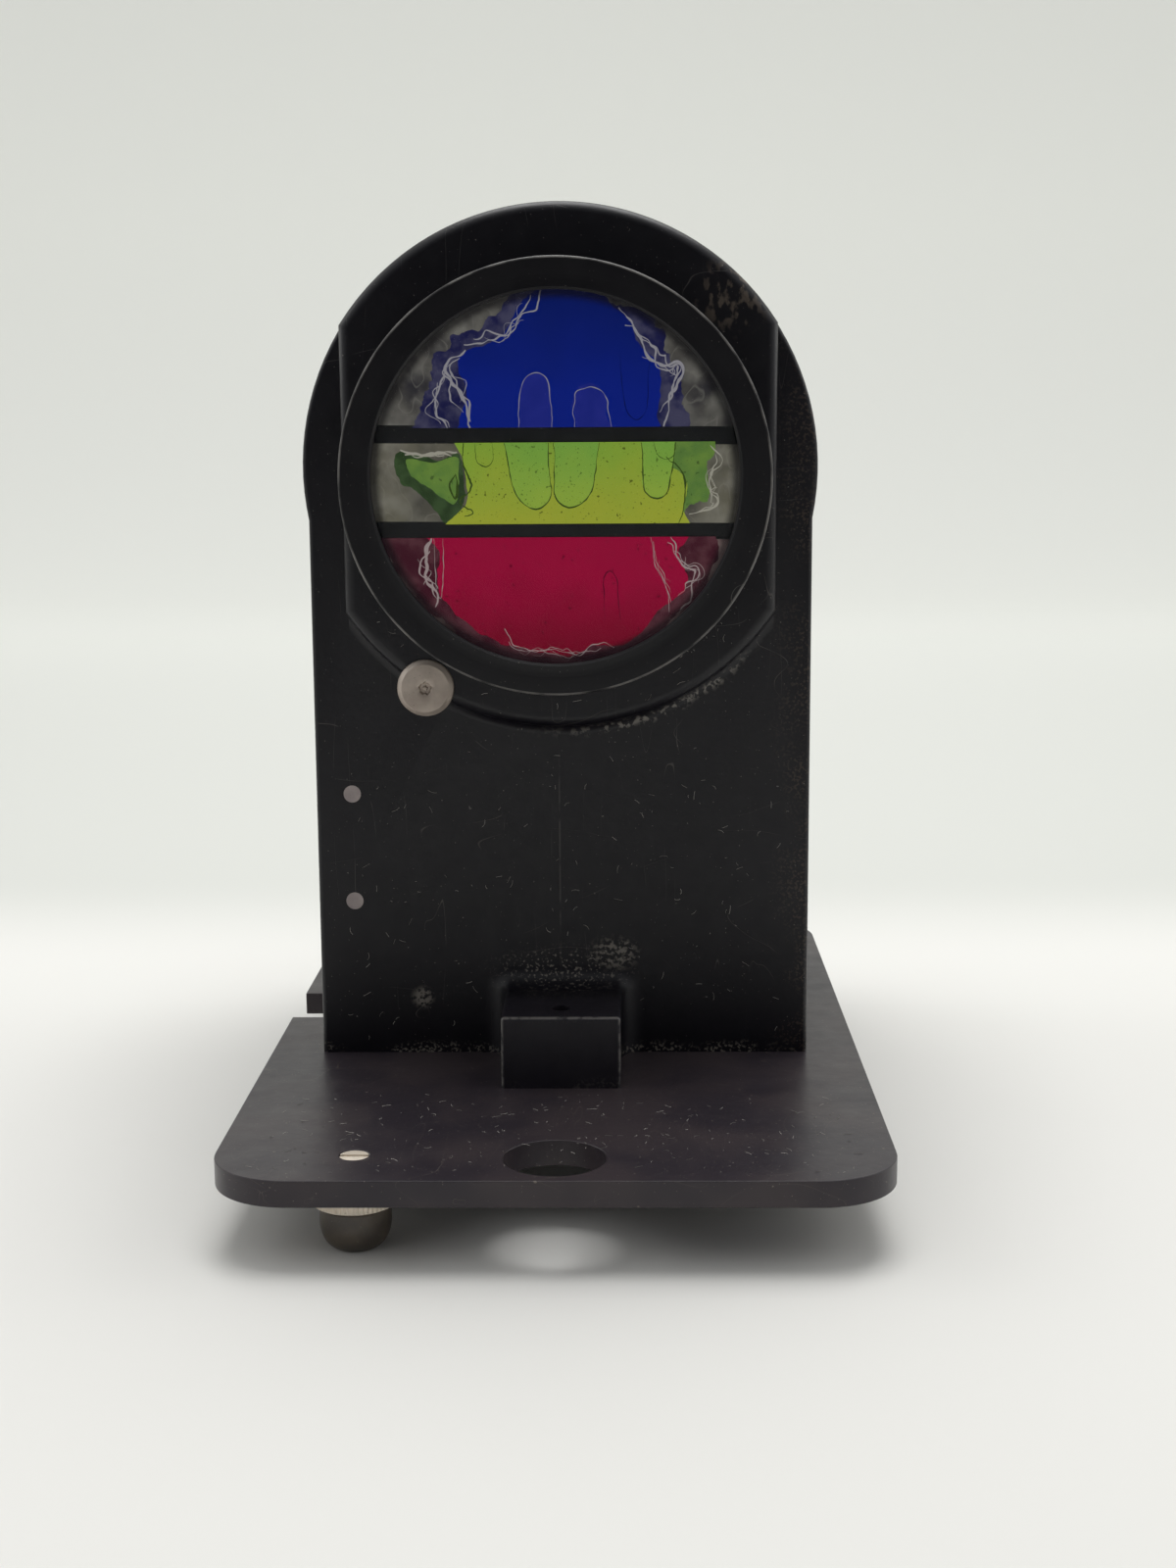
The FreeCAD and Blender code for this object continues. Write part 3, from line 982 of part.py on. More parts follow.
def make_feet():
    """Three feet: a slotted stud through the plate, a knurled nut under it and a dome on the floor."""
    studs = []
    names = ("front_left", "right", "rear_left")
    for name, (x, y) in zip(names, foot_places()):
        top = f"({PLATE_TOP} - stud_recess)"
        low = "(dome_height / 2)"
        rod = cylinder(f"{name}_rod", "stud_diameter / 2", f"{top} - {low}", x, y, low)
        slot = box(f"{name}_stud_slot", f"{x} - stud_diameter", f"{y} - stud_slot_width / 2",
                   f"{top} - stud_slot_width", "2 * stud_diameter", "stud_slot_width", "2 * stud_slot_width")
        studs.append(cut(f"{name}_stud", rod, slot))
        base = cylinder(f"{name}_dome_skirt", "dome_diameter / 2", "dome_height * 0.55", x, y,
                        "dome_height * 0.45")
        tip = cone(f"{name}_dome_tip", "dome_diameter * 0.33", "dome_diameter / 2", "dome_height * 0.45",
                   x, y, "0")
        socket = cylinder(f"{name}_dome_socket", "stud_diameter / 2 + screw_clearance", "dome_height",
                          x, y, low)
        node(cut(f"{name}_foot", joined(f"{name}_dome", base, tip), socket), f"{name}_foot")
        nut = cylinder(f"{name}_nut_blank", "nut_diameter / 2", "nut_height", x, y,
                       "dome_height + nut_clearance")
        thread = cylinder(f"{name}_nut_thread", "stud_diameter / 2 + nut_bore_clearance", "nut_height + 2",
                          x, y, "dome_height + nut_clearance - 1")
        node(cut(f"{name}_knurled_nut", nut, thread), f"{name}_knurled_nut")
    node(group("foot_studs", *studs), "foot_studs")


def check_and_export():
    """See that every object and every sub-part is sound, then write one STEP file per sub-part."""
    doc.recompute()
    for item in doc.Objects:
        if "Invalid" in item.State or "Error" in item.State:
            raise RuntimeError(f"{item.Label} failed: {item.State}")
    for item in nodes:
        if item.Shape.isNull() or not item.Shape.isValid():
            raise RuntimeError(f"{item.Label} has no valid shape")
    os.makedirs("parts", exist_ok=True)
    for item in nodes:
        item.Shape.exportStep(f"parts/{item.Label}.step")
        print(f"{item.Label}: {len(item.Shape.Solids)} solid, {item.Shape.Volume:.1f} mm3")


fill_sheet()
make_base_plate()
make_housing()
make_lens_barrel()
make_filter_stack()
make_light_baffle()
make_lamp_board()
make_lamps()
make_common_strip()
make_screws()
make_terminals()
make_wires()
make_keeper_pin()
make_rear_cover()
make_hinge()
make_latch()
make_feet()
check_and_export()
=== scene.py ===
"""Three-colour signal lamp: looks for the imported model, in metres, +Z up, front towards -Y."""
import json
import logging
import math
from collections.abc import Callable
from dataclasses import dataclass, field
from enum import Enum

import bmesh
import bpy
import numpy as np
from mathutils import Matrix, Vector

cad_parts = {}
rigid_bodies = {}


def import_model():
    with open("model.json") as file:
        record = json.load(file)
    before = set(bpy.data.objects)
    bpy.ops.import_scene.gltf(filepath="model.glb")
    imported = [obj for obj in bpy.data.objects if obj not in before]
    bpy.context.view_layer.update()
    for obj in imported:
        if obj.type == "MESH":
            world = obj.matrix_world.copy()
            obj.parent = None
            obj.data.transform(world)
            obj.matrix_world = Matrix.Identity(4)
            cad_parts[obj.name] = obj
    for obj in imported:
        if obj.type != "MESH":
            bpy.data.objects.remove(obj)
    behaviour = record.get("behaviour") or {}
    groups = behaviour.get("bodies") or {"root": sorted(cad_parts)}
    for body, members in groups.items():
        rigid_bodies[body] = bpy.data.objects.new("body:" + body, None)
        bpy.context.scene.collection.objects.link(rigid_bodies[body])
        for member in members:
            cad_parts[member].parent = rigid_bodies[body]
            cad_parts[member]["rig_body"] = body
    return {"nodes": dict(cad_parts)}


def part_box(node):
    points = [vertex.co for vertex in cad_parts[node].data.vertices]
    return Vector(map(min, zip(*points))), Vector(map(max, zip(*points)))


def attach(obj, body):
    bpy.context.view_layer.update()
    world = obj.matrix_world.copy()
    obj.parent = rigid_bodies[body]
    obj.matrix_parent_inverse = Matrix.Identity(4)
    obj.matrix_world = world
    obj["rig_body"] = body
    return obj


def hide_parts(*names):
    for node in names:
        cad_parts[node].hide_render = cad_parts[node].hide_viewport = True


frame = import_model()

logging.basicConfig(level=logging.INFO, format="%(message)s")
LOG = logging.getLogger("signal_lamp")
MM = 0.001
SHARP_ANGLE = math.radians(32)
# Across and up from the origin, in millimetres.
LENS_AXIS = (0.0, 110.9)
# The radii between which the barrel's lip comes to shade the films, in millimetres.
LIP_SHADE = (26.2, 27.7)

Socket = bpy.types.NodeSocket
Value = Socket | float
Colour = Socket | str


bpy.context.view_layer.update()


def middle(node: str) -> Vector:
    """Centre of a node's box, in metres."""
    low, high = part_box(node)
    return (Vector(low) + Vector(high)) / 2


def linear(colour: str, alpha: float = 1.0) -> tuple[float, float, float, float]:
    """Turn an sRGB hex colour into a linear one.

    Args:
        colour: Six hex digits after a hash sign.
        alpha: Opacity that goes with it.

    Returns:
        Linear red, green and blue, and alpha.
    """
    parts = [int(colour[i:i + 2], 16) / 255 for i in (1, 3, 5)]
    low = [part / 12.92 if part <= 0.04045 else ((part + 0.055) / 1.055) ** 2.4 for part in parts]
    return (low[0], low[1], low[2], alpha)


def add(tree: bpy.types.NodeTree, kind: str, links: dict | None = None, **settings) -> bpy.types.Node:
    """Add a node with its settings and what feeds it.

    Args:
        tree: The material's node tree.
        kind: The node's type without its ShaderNode prefix.
        links: For each input, a socket to link or a value to set.
        **settings: Properties of the node.

    Returns:
        The new node.
    """
    node = tree.nodes.new("ShaderNode" + kind)
    for name, value in settings.items():
        setattr(node, name, value)
    for name, value in (links or {}).items():
        if isinstance(value, bpy.types.NodeSocket):
            tree.links.new(value, node.inputs[name])
        else:
            node.inputs[name].default_value = value
    return node


class Sheet:
    """A material under construction: its tree, its shader and the surface point in millimetres."""

    def __init__(self, name: str) -> None:
        """Start an empty material with one shader.

        Args:
            name: The material's name.
        """
        self.material = bpy.data.materials.new(name)
        self.material.use_nodes = True
        self.tree = self.material.node_tree
        self.tree.nodes.clear()
        self.shader = add(self.tree, "BsdfPrincipled")
        add(self.tree, "OutputMaterial", {"Surface": self.shader.outputs[0]})
        here = add(self.tree, "TexCoord").outputs["Object"]
        scaled = add(self.tree, "VectorMath", {0: here, 1: (1 / MM,) * 3}, operation="MULTIPLY")
        self.place = scaled.outputs[0]
        self.axes = add(self.tree, "SeparateXYZ", {0: self.place}).outputs

    def sum(self, operation: str, first: Value, second: Value = 0.0, third: Value = 0.0,
            clamp: bool = False) -> Socket:
        """One arithmetic step.

        Args:
            operation: The step's name, such as MULTIPLY.
            first: First socket or number.
            second: Second socket or number.
            third: Third socket or number.
            clamp: Keep the result between 0 and 1.

        Returns:
            The socket that holds the result.
        """
        return add(self.tree, "Math", {0: first, 1: second, 2: third}, operation=operation,
                   use_clamp=clamp).outputs[0]

    def rise(self, value: Value, low: float, high: float) -> Socket:
        """A soft step: 0 at low and 1 at high, smooth between them."""
        return add(self.tree, "MapRange", {"Value": value, "From Min": low, "From Max": high},
                   interpolation_type="SMOOTHSTEP").outputs[0]

    def cloud(self, grain_mm: float, stretch: tuple[float, float, float] = (1.0, 1.0, 1.0),
              detail: float = 3.0, shift: float = 0.0) -> Socket:
        """Soft random variation.

        Args:
            grain_mm: Size of its blobs.
            stretch: Factor on each axis; a small one draws the blobs out along that axis.
            detail: How many finer octaves are laid over it.
            shift: Moves the pattern, so that two of the same grain differ.

        Returns:
            A socket that runs from 0 to 1 about a middle of one half.
        """
        moved = add(self.tree, "VectorMath", {0: self.place, 1: stretch, 2: (shift,) * 3},
                    operation="MULTIPLY_ADD").outputs[0]
        return add(self.tree, "TexNoise", {"Vector": moved, "Scale": 1 / grain_mm, "Detail": detail},
                   noise_dimensions="3D").outputs["Fac"]

    def blend(self, share: Value, first: Colour, second: Colour) -> Socket:
        """Mix two colours.

        Args:
            share: Socket or number; 0 gives the first colour and 1 the second.
            first: Hex text or a colour socket.
            second: Hex text or a colour socket.

        Returns:
            The mixed colour's socket.
        """
        colours = [linear(item) if isinstance(item, str) else item for item in (first, second)]
        return add(self.tree, "Mix", {0: share, 6: colours[0], 7: colours[1]}, data_type="RGBA").outputs[2]

    def lay(self, colour: Colour, mask: Value, share: float, tone: Colour) -> Socket:
        """Cover a colour with a tone where a mask is, at a share of full cover."""
        return self.blend(self.sum("MULTIPLY", mask, share), colour, tone)

    def ahead(self) -> Socket:
        """How far a point lies towards the front: minus its second coordinate."""
        return self.sum("MULTIPLY", self.axes[1], -1.0)

    def specks(self, grain_mm: float, share: float, shift: float = 0.0) -> Socket:
        """Small separate spots; a larger share gives more of them, and below 0 they grow rare."""
        edge = 0.5 + 0.26 * (1 - share)
        return self.rise(self.cloud(grain_mm, detail=1.0, shift=shift), edge, edge + 0.04)

    def hairlines(self, stretch: tuple[float, float, float], grain_mm: float, width: float,
                  shift: float = 0.0) -> Socket:
        """Fine scratches: the places where a drawn-out cloud passes its middle value."""
        cloud = self.cloud(grain_mm, stretch, detail=0.5, shift=shift)
        off_middle = self.sum("ABSOLUTE", self.sum("SUBTRACT", cloud, 0.5))
        return self.rise(self.sum("SUBTRACT", width, off_middle), 0.0, width)

    def distance(self, centre: tuple[float, float], squash: float = 1.0) -> Socket:
        """Distance from an axis along Y, in millimetres; squash above 1 flattens its rings upwards."""
        across = self.sum("SUBTRACT", self.axes[0], centre[0])
        up = self.sum("MULTIPLY", self.sum("SUBTRACT", self.axes[2], centre[1]), squash)
        squares = self.sum("ADD", self.sum("MULTIPLY", across, across), self.sum("MULTIPLY", up, up))
        return self.sum("SQRT", squares)

    def spot(self, centre: tuple[float, float], radius: float, squash: float = 1.0) -> Socket:
        """A soft round patch on the front: 1 at its centre and 0 at its radius."""
        return self.rise(self.sum("MULTIPLY", self.distance(centre, squash), -1.0), -radius, -0.3 * radius)

    def between(self, value: Value, low: float, high: float, soft: float) -> Socket:
        """1 between two limits and 0 beyond them, over a soft edge."""
        return self.sum("MULTIPLY", self.rise(value, low - soft, low + soft),
                        self.sum("SUBTRACT", 1.0, self.rise(value, high - soft, high + soft)))

    def both(self, *masks: Value) -> Socket:
        """The product of several masks."""
        result = masks[0]
        for mask in masks[1:]:
            result = self.sum("MULTIPLY", result, mask)
        return result

    def relief(self, height: Socket, depth_mm: float) -> None:
        """Turn a 0 to 1 height into a bump of that depth on the shader."""
        bump = add(self.tree, "Bump", {"Height": height, "Distance": depth_mm * MM, "Strength": 1.0})
        self.tree.links.new(bump.outputs[0], self.shader.inputs["Normal"])

    def feed(self, **sockets: Value) -> bpy.types.Material:
        """Link or set the shader's inputs, named with underscores for spaces, and return the material."""
        for name, value in sockets.items():
            socket = self.shader.inputs[name.replace("_", " ")]
            if isinstance(value, bpy.types.NodeSocket):
                self.tree.links.new(value, socket)
            else:
                socket.default_value = value
        return self.material


@dataclass(frozen=True)
class MouldedPhenolic:
    """Black pressed phenolic: a satin skin, faint mottle, fine scratches and pale dust in its corners."""

    name: str
    ground: str = "#08070d"
    mottle: str = "#100e16"
    dust: str = "#8f8a82"
    dust_share: float = 0.0
    front_marks_and_painted_light: bool = False
    arch_centre: float = 112.1
    boss_radius: float = 41.8
    boss_flat: float = 35.0
    boss_front: float = -22.6
    lug_half: float = 9.65
    lug_top: float = 25.5
    lug_front: float = -37.1
    half_width: float = 41.25

    def build(self) -> bpy.types.Material:
        """Make the material; the front's dust and wear, with a painted sheen on the lug and painted
        highlights on its edges, follow its boss, lug and edges.
        """
        make = Sheet(self.name)
        colour = make.blend(make.cloud(9.0), self.ground, self.mottle)
        long_lines = make.hairlines((1.0, 1.0, 0.10), 4.0, 0.0022, shift=3.0)
        cross_lines = make.hairlines((0.2, 1.0, 0.6), 6.0, 0.002, shift=11.0)
        fade = make.rise(make.cloud(11.0, shift=5.0), 0.52, 0.62)
        lines = make.both(make.sum("MAXIMUM", long_lines, cross_lines), fade)
        colour = make.lay(colour, lines, 0.4, "#6e6964")
        specks = make.specks(0.34, self.dust_share)
        colour = make.lay(colour, specks, 0.5, self.dust)
        if self.front_marks_and_painted_light:
            colour = self.worn_and_highlit_arrises(make, self.dust_and_lug_sheen(make, colour))
        rough = make.sum("MULTIPLY_ADD", make.cloud(3.0, shift=2.0), 0.2, 0.3)
        make.relief(make.sum("ADD", make.cloud(0.9), make.sum("MULTIPLY", lines, -0.6)), 0.03)
        return make.feed(Base_Color=colour, Roughness=rough, IOR=1.42)

    def dust_and_lug_sheen(self, make: Sheet, colour: Socket) -> Socket:
        """Dust along the boss's foot, rust-brown grime down the right edge, dirt round the lug and a painted
        sheen that lightens the lug's front.

        Args:
            make: The material under construction.
            colour: Colour so far.

        Returns:
            The colour with dust and the painted sheen on it.
        """
        x, z = make.axes[0], make.axes[2]
        wobble = make.sum("MULTIPLY_ADD", make.cloud(2.4, shift=8.0), 1.8, -0.9)
        ring = make.sum("ADD", make.distance((0.0, self.arch_centre)), wobble)
        near_ring = make.between(ring, self.boss_radius + 0.9, self.boss_radius + 2.0, 0.7)
        low = make.rise(make.sum("MULTIPLY", z, -1.0), -84.0, -76.0)
        patchy = make.rise(make.cloud(0.9, shift=4.0, detail=5.0), 0.5, 0.6)
        colour = make.lay(colour, make.both(near_ring, low, make.rise(x, -8, 16), patchy), 0.55, "#a39d94")
        fine = make.rise(make.cloud(0.5, shift=6.0, detail=4.0), 0.52, 0.6)
        facing = make.rise(make.ahead(), 15.6, 16.4)
        edge = make.both(facing, make.rise(x, self.half_width - 8.0, self.half_width - 1.0), fine,
                         make.rise(make.cloud(9.0, shift=2.5), 0.4, 0.6))
        colour = make.lay(colour, edge, 0.6, "#483d35")
        streak = make.rise(make.cloud(1.2, (1.0, 1.0, 0.6), detail=5.0, shift=33.0), 0.5, 0.62)
        smudge = make.both(facing, make.spot((27.5, 139.0), 7.5), streak)
        colour = make.lay(colour, smudge, 0.6, "#6a5f54")
        lump = make.spot((8.5, 31.0), 5.5, 1.5)
        crumbs = make.rise(make.cloud(0.5, shift=9.0, detail=5.0), 0.56, 0.66)
        caked = make.rise(make.cloud(0.8, shift=1.0, detail=5.0), 0.46, 0.6)
        root = make.both(make.spot((0.0, 28.5), 15.0, 3.0), crumbs)
        dirt = make.sum("MAXIMUM", make.both(lump, caked), root)
        small = make.both(make.spot((-24.0, 23.4), 2.4), make.rise(make.cloud(0.6), 0.4, 0.5))
        dirt = make.sum("MAXIMUM", dirt, small)
        sill = make.both(facing, make.rise(make.sum("MULTIPLY", z, -1.0), -16.2, -14.4), fine,
                         make.rise(make.cloud(7.0, shift=13.0), 0.42, 0.56))
        dirt = make.sum("MAXIMUM", dirt, sill)
        colour = make.lay(colour, dirt, 0.6, "#8d877e")
        # Painted sheen: the lug's front is lightened to stand in for its glossy reflection of the pale
        # floor.
        lug = make.rise(make.ahead(), -self.boss_front + 1.0, -self.boss_front + 4.0)
        lug = make.both(lug, make.rise(make.sum("MULTIPLY", z, -1.0), -27.0, -26.0))
        colour = make.lay(colour, lug, 0.8, make.blend(make.cloud(2.5), "#17151b", "#26232a"))
        seam = make.both(make.between(x, -0.62, -0.38, 0.1), make.between(z, self.lug_top + 6.0, 62.0, 5.0),
                         make.rise(make.cloud(3.0, shift=7.0), 0.35, 0.55))
        return make.lay(colour, seam, 0.22, "#77736f")

    def worn_and_highlit_arrises(self, make: Sheet, colour: Socket) -> Socket:
        """Pale lines where the lug's edges and the boss's flats come forward: partly wear and partly painted
        highlight where the edges catch the light.

        Args:
            make: The material under construction.
            colour: Colour so far.

        Returns:
            The colour with pale edges of wear and painted highlight.
        """
        x, z = make.axes[0], make.axes[2]
        ahead = make.ahead()
        side = make.sum("ABSOLUTE", x)
        # The pale edges are partly wear and partly painted highlight along the lug's and flats' arrises.
        forward = make.rise(ahead, -self.lug_front - 0.75, -self.lug_front - 0.3)
        edges = make.sum("MAXIMUM", make.rise(side, self.lug_half - 0.55, self.lug_half - 0.2),
                         make.rise(z, self.lug_top - 0.5, self.lug_top - 0.15))
        on_lug = make.sum("SUBTRACT", 1.0, make.rise(z, self.lug_top + 0.4, self.lug_top + 0.6))
        rubbed = make.both(forward, edges, on_lug)
        flats = make.both(make.rise(side, self.boss_flat - 0.5, self.boss_flat - 0.2),
                          make.rise(ahead, -self.boss_front - 2.0, -self.boss_front - 1.2),
                          make.rise(z, 60.0, 62.0), make.rise(make.cloud(5.0, shift=17.0), 0.5, 0.64))
        edges = make.sum("MAXIMUM", rubbed, make.sum("MULTIPLY", flats, 0.45))
        pale_edges = make.both(edges, make.rise(make.cloud(1.2, shift=3.0), 0.36, 0.56))
        return make.lay(colour, pale_edges, 0.42, "#8c8883")


@dataclass(frozen=True)
class TurnedPhenolic:
    """Turned black phenolic: faint lathe rings, a painted highlight along the front rim's arris and fine
    dust on the flat ring.
    """

    name: str
    axis: tuple[float, float]
    rim_radius: float
    front: float
    ground: str = "#0a090d"
    rings: str = "#100f13"

    def build(self) -> bpy.types.Material:
        """Make the material; rings follow the distance from the lens axis."""
        make = Sheet(self.name)
        radius = make.distance(self.axis)
        line = add(make.tree, "CombineXYZ", {0: radius}).outputs[0]
        turned = add(make.tree, "TexNoise", {"Vector": line, "Scale": 2.4, "Detail": 2.0}).outputs["Fac"]
        colour = make.blend(turned, self.ground, self.rings)
        specks = make.specks(0.3, 0.0, shift=7.0)
        colour = make.lay(colour, specks, 0.5, "#8e8981")
        scratch = make.both(make.hairlines((0.3, 1.0, 0.8), 5.0, 0.003, shift=30.0),
                            make.spot((27.0, 87.0), 12.0))
        colour = make.lay(colour, scratch, 0.7, "#8a8680")
        # Painted highlight: a pale line along the front rim's outer arris, where the rounded edge catches
        # the light.
        forward = make.rise(make.ahead(), -self.front - 0.5, -self.front - 0.3)
        arris = make.both(make.rise(radius, self.rim_radius - 0.42, self.rim_radius - 0.3), forward,
                          make.rise(make.cloud(5.0, shift=1.0), 0.3, 0.62))
        colour = make.lay(colour, arris, 0.5, "#8b8884")
        rough = make.sum("MULTIPLY_ADD", make.cloud(4.0), 0.2, 0.3)
        make.relief(turned, 0.015)
        return make.feed(Base_Color=colour, Roughness=rough, IOR=1.4)


@dataclass(frozen=True)
class PhenolicSheet:
    """Sawn black phenolic sheet: a dulled face with a brown cast, long rubbed scratches and dust."""

    name: str = "phenolic_sheet"

    def build(self) -> bpy.types.Material:
        """Make the material; the scratches run in several directions across the plate."""
        make = Sheet(self.name)
        colour = make.blend(make.rise(make.cloud(16.0), 0.35, 0.65), "#2e292f", "#3b3437")
        for stretch, grain, shift in (((0.12, 1.0, 1.0), 3.0, 0.0), ((1.0, 0.14, 1.0), 4.0, 21.0),
                                      ((0.4, 0.6, 1.0), 7.0, 40.0)):
            lines = make.hairlines(stretch, grain, 0.0022, shift=shift)
            fade = make.rise(make.cloud(12.0, shift=shift + 3.0), 0.48, 0.6)
            colour = make.lay(colour, make.both(lines, fade), 0.4, "#6f675f")
        specks = make.sum("MAXIMUM", make.specks(0.36, 0.1, shift=2.0), make.specks(0.7, -0.1, shift=5.0))
        colour = make.lay(colour, specks, 0.5, "#958b80")
        rough = make.sum("MULTIPLY_ADD", make.cloud(5.0, shift=6.0), 0.2, 0.26)
        make.relief(make.cloud(1.4), 0.025)
        return make.feed(Base_Color=colour, Roughness=rough, IOR=1.4)


@dataclass(frozen=True)
class DulledMetal:
    """Plated or bare metal gone dull: colour drifts between two tones and tarnish gathers in spots."""

    name: str
    bright: str
    dull: str
    tarnish: str = "#4b4037"
    metallic: float = 0.85
    roughness: float = 0.38

    def build(self) -> bpy.types.Material:
        """Make the material."""
        make = Sheet(self.name)
        colour = make.blend(make.rise(make.cloud(5.0, detail=5.0), 0.3, 0.7), self.bright, self.dull)
        spots = make.sum("MAXIMUM", make.specks(0.35, 0.12, shift=4.0), make.specks(1.1, -0.1, shift=9.0))
        colour = make.lay(colour, spots, 0.4, self.tarnish)
        rough = make.sum("MULTIPLY_ADD", make.cloud(1.2), 0.25, self.roughness - 0.1)
        make.relief(make.cloud(0.5, detail=4.0), 0.02)
        return make.feed(Base_Color=colour, Roughness=rough, Metallic=self.metallic)


@dataclass(frozen=True)
class PlainMoulding:
    """A smaller moulded or covered piece: one colour with faint mottle and a soft skin."""

    name: str
    ground: str
    mottle: str
    roughness: float = 0.45

    def build(self) -> bpy.types.Material:
        """Make the material."""
        make = Sheet(self.name)
        colour = make.blend(make.rise(make.cloud(3.0), 0.35, 0.65), self.ground, self.mottle)
        specks = make.specks(0.4, 0.12, shift=3.0)
        colour = make.lay(colour, specks, 0.4, "#8a8378")
        rough = make.sum("MULTIPLY_ADD", make.cloud(1.5), 0.2, self.roughness - 0.1)
        make.relief(make.cloud(0.8), 0.025)
        return make.feed(Base_Color=colour, Roughness=rough, IOR=1.55)


@dataclass(frozen=True)
class ClearGlass:
    """Clear glass with a faint haze."""

    name: str
    tint: str = "#f4f8f6"
    roughness: float = 0.02
    weight: float = 1.0
    bend: float = 1.5

    def build(self) -> bpy.types.Material:
        """Make the material."""
        make = Sheet(self.name)
        colour = make.blend(make.cloud(9.0), self.tint, "#ffffff")
        return make.feed(Base_Color=colour, Roughness=self.roughness, IOR=self.bend,
                         Transmission_Weight=self.weight)


class Film(Enum):
    """The three colour films, top to bottom."""

    BLUE = "blue"
    GREEN = "green"
    RED = "red"

    @property
    def node(self) -> str:
        """The CAD node of this film."""
        return f"{self.value}_filter"

    @property
    def slot(self) -> str:
        """The record's slot of this film."""
        return f"{self.value}_film"


@dataclass(frozen=True)
class CloudedCement:
    """Old clouded cement over a film's border, lit from behind: grey with pale streaks towards the rim."""

    film: Film
    axis: tuple[float, float]
    dark: str = "#302e2c"
    pale: str = "#67645e"
    cast: str = "#434039"

    def build(self) -> bpy.types.Material:
        """Make the material; it grows paler outwards from the lens axis."""
        make = Sheet(self.film.slot)
        radius = make.distance(self.axis)
        lumps = make.cloud(7.0, detail=3.0, shift=20.0)
        wisps = make.hairlines((1.0, 1.0, 0.7), 3.2, 0.02, shift=4.0)
        tone = make.blend(make.rise(lumps, 0.34, 0.66), self.dark, self.cast)
        outer = make.rise(radius, 15.0, 28.0)
        share = make.sum("MULTIPLY", make.rise(make.cloud(5.0, detail=3.5, shift=9.0), 0.34, 0.7), outer)
        colour = make.blend(share, tone, self.pale)
        colour = make.lay(colour, wisps, 0.4, self.pale)
        return lit(make, colour)


@dataclass(frozen=True)
class LitGelatine:
    """Dyed gelatine lit from behind: two tones that drift into each other, with small dark specks."""

    name: str
    colour: str
    second: str
    grain_mm: float = 8.0
    speck: str = "#15160f"
    specks: float = 0.35
    fade: tuple[float, float] | None = None
    strength: float = 1.0

    def build(self) -> bpy.types.Material:
        """Make the material; with a fade, the second tone takes over between two heights."""
        make = Sheet(self.name)
        drift = make.cloud(self.grain_mm, detail=4.0, shift=12.0)
        if self.fade is None:
            share = make.rise(drift, 0.35, 0.65)
        else:
            height = make.sum("MULTIPLY_ADD", make.sum("SUBTRACT", drift, 0.5), 9.0, make.axes[2])
            share = add(make.tree, "MapRange", {"Value": height, "From Min": self.fade[0],
                                                "From Max": self.fade[1]}).outputs[0]
        tone = make.blend(share, self.colour, self.second)
        dots = make.sum("MAXIMUM", make.specks(0.3, 0.26, shift=14.0), make.specks(0.8, 0.16, shift=24.0))
        return lit(make, make.lay(tone, dots, self.specks, self.speck), self.strength)


def lit(make: Sheet, colour: Socket, strength: float = 1.0) -> bpy.types.Material:
    """Let a colour glow as when the lamp shines through it, less so in the shade of the barrel's lip."""
    lip = make.rise(make.distance(LENS_AXIS), *LIP_SHADE)
    colour = make.lay(colour, lip, 0.82, "#0d0c0f")
    return make.feed(Base_Color=make.blend(0.9, colour, "#000000"), Roughness=0.5, Specular_IOR_Level=0.08,
                     Emission_Color=colour, Emission_Strength=strength)


def mesh_object(name: str, points: np.ndarray, faces: list, smooth: bool = True) -> bpy.types.Object:
    """Put points and faces into a new object at the origin.

    Args:
        name: The object's name.
        points: Places in metres, one row each.
        faces: Tuples of point numbers.
        smooth: Shade it smooth but for sharp corners.

    Returns:
        The new object.
    """
    mesh = bpy.data.meshes.new(name)
    mesh.from_pydata(points.tolist(), [], faces)
    form = bmesh.new()
    form.from_mesh(mesh)
    bmesh.ops.remove_doubles(form, verts=form.verts, dist=1e-7)
    bmesh.ops.recalc_face_normals(form, faces=form.faces)
    form.to_mesh(mesh)
    form.free()
    if smooth:
        mesh.shade_smooth()
        mesh.set_sharp_from_angle(angle=SHARP_ANGLE)
    item = bpy.data.objects.new(name, mesh)
    bpy.context.scene.collection.objects.link(item)
    return item


def grid_faces(rows: int, columns: int, wrap_columns: bool = True, wrap_rows: bool = False) -> list:
    """Four-sided faces over a grid of points, row after row.

    Args:
        rows: Points along the first direction.
        columns: Points along the second direction.
        wrap_columns: Close the second direction on itself.
        wrap_rows: Close the first direction on itself.

    Returns:
        Tuples of point numbers.
    """
    first = np.arange(rows if wrap_rows else rows - 1)
    second = np.arange(columns if wrap_columns else columns - 1)
    row, column = np.meshgrid(first, second, indexing="ij")
    below = (row + 1) % rows
    beside = (column + 1) % columns
    corners = np.stack([row * columns + column, row * columns + beside,
                        below * columns + beside, below * columns + column], axis=-1)
    return [tuple(face) for face in corners.reshape(-1, 4).tolist()]


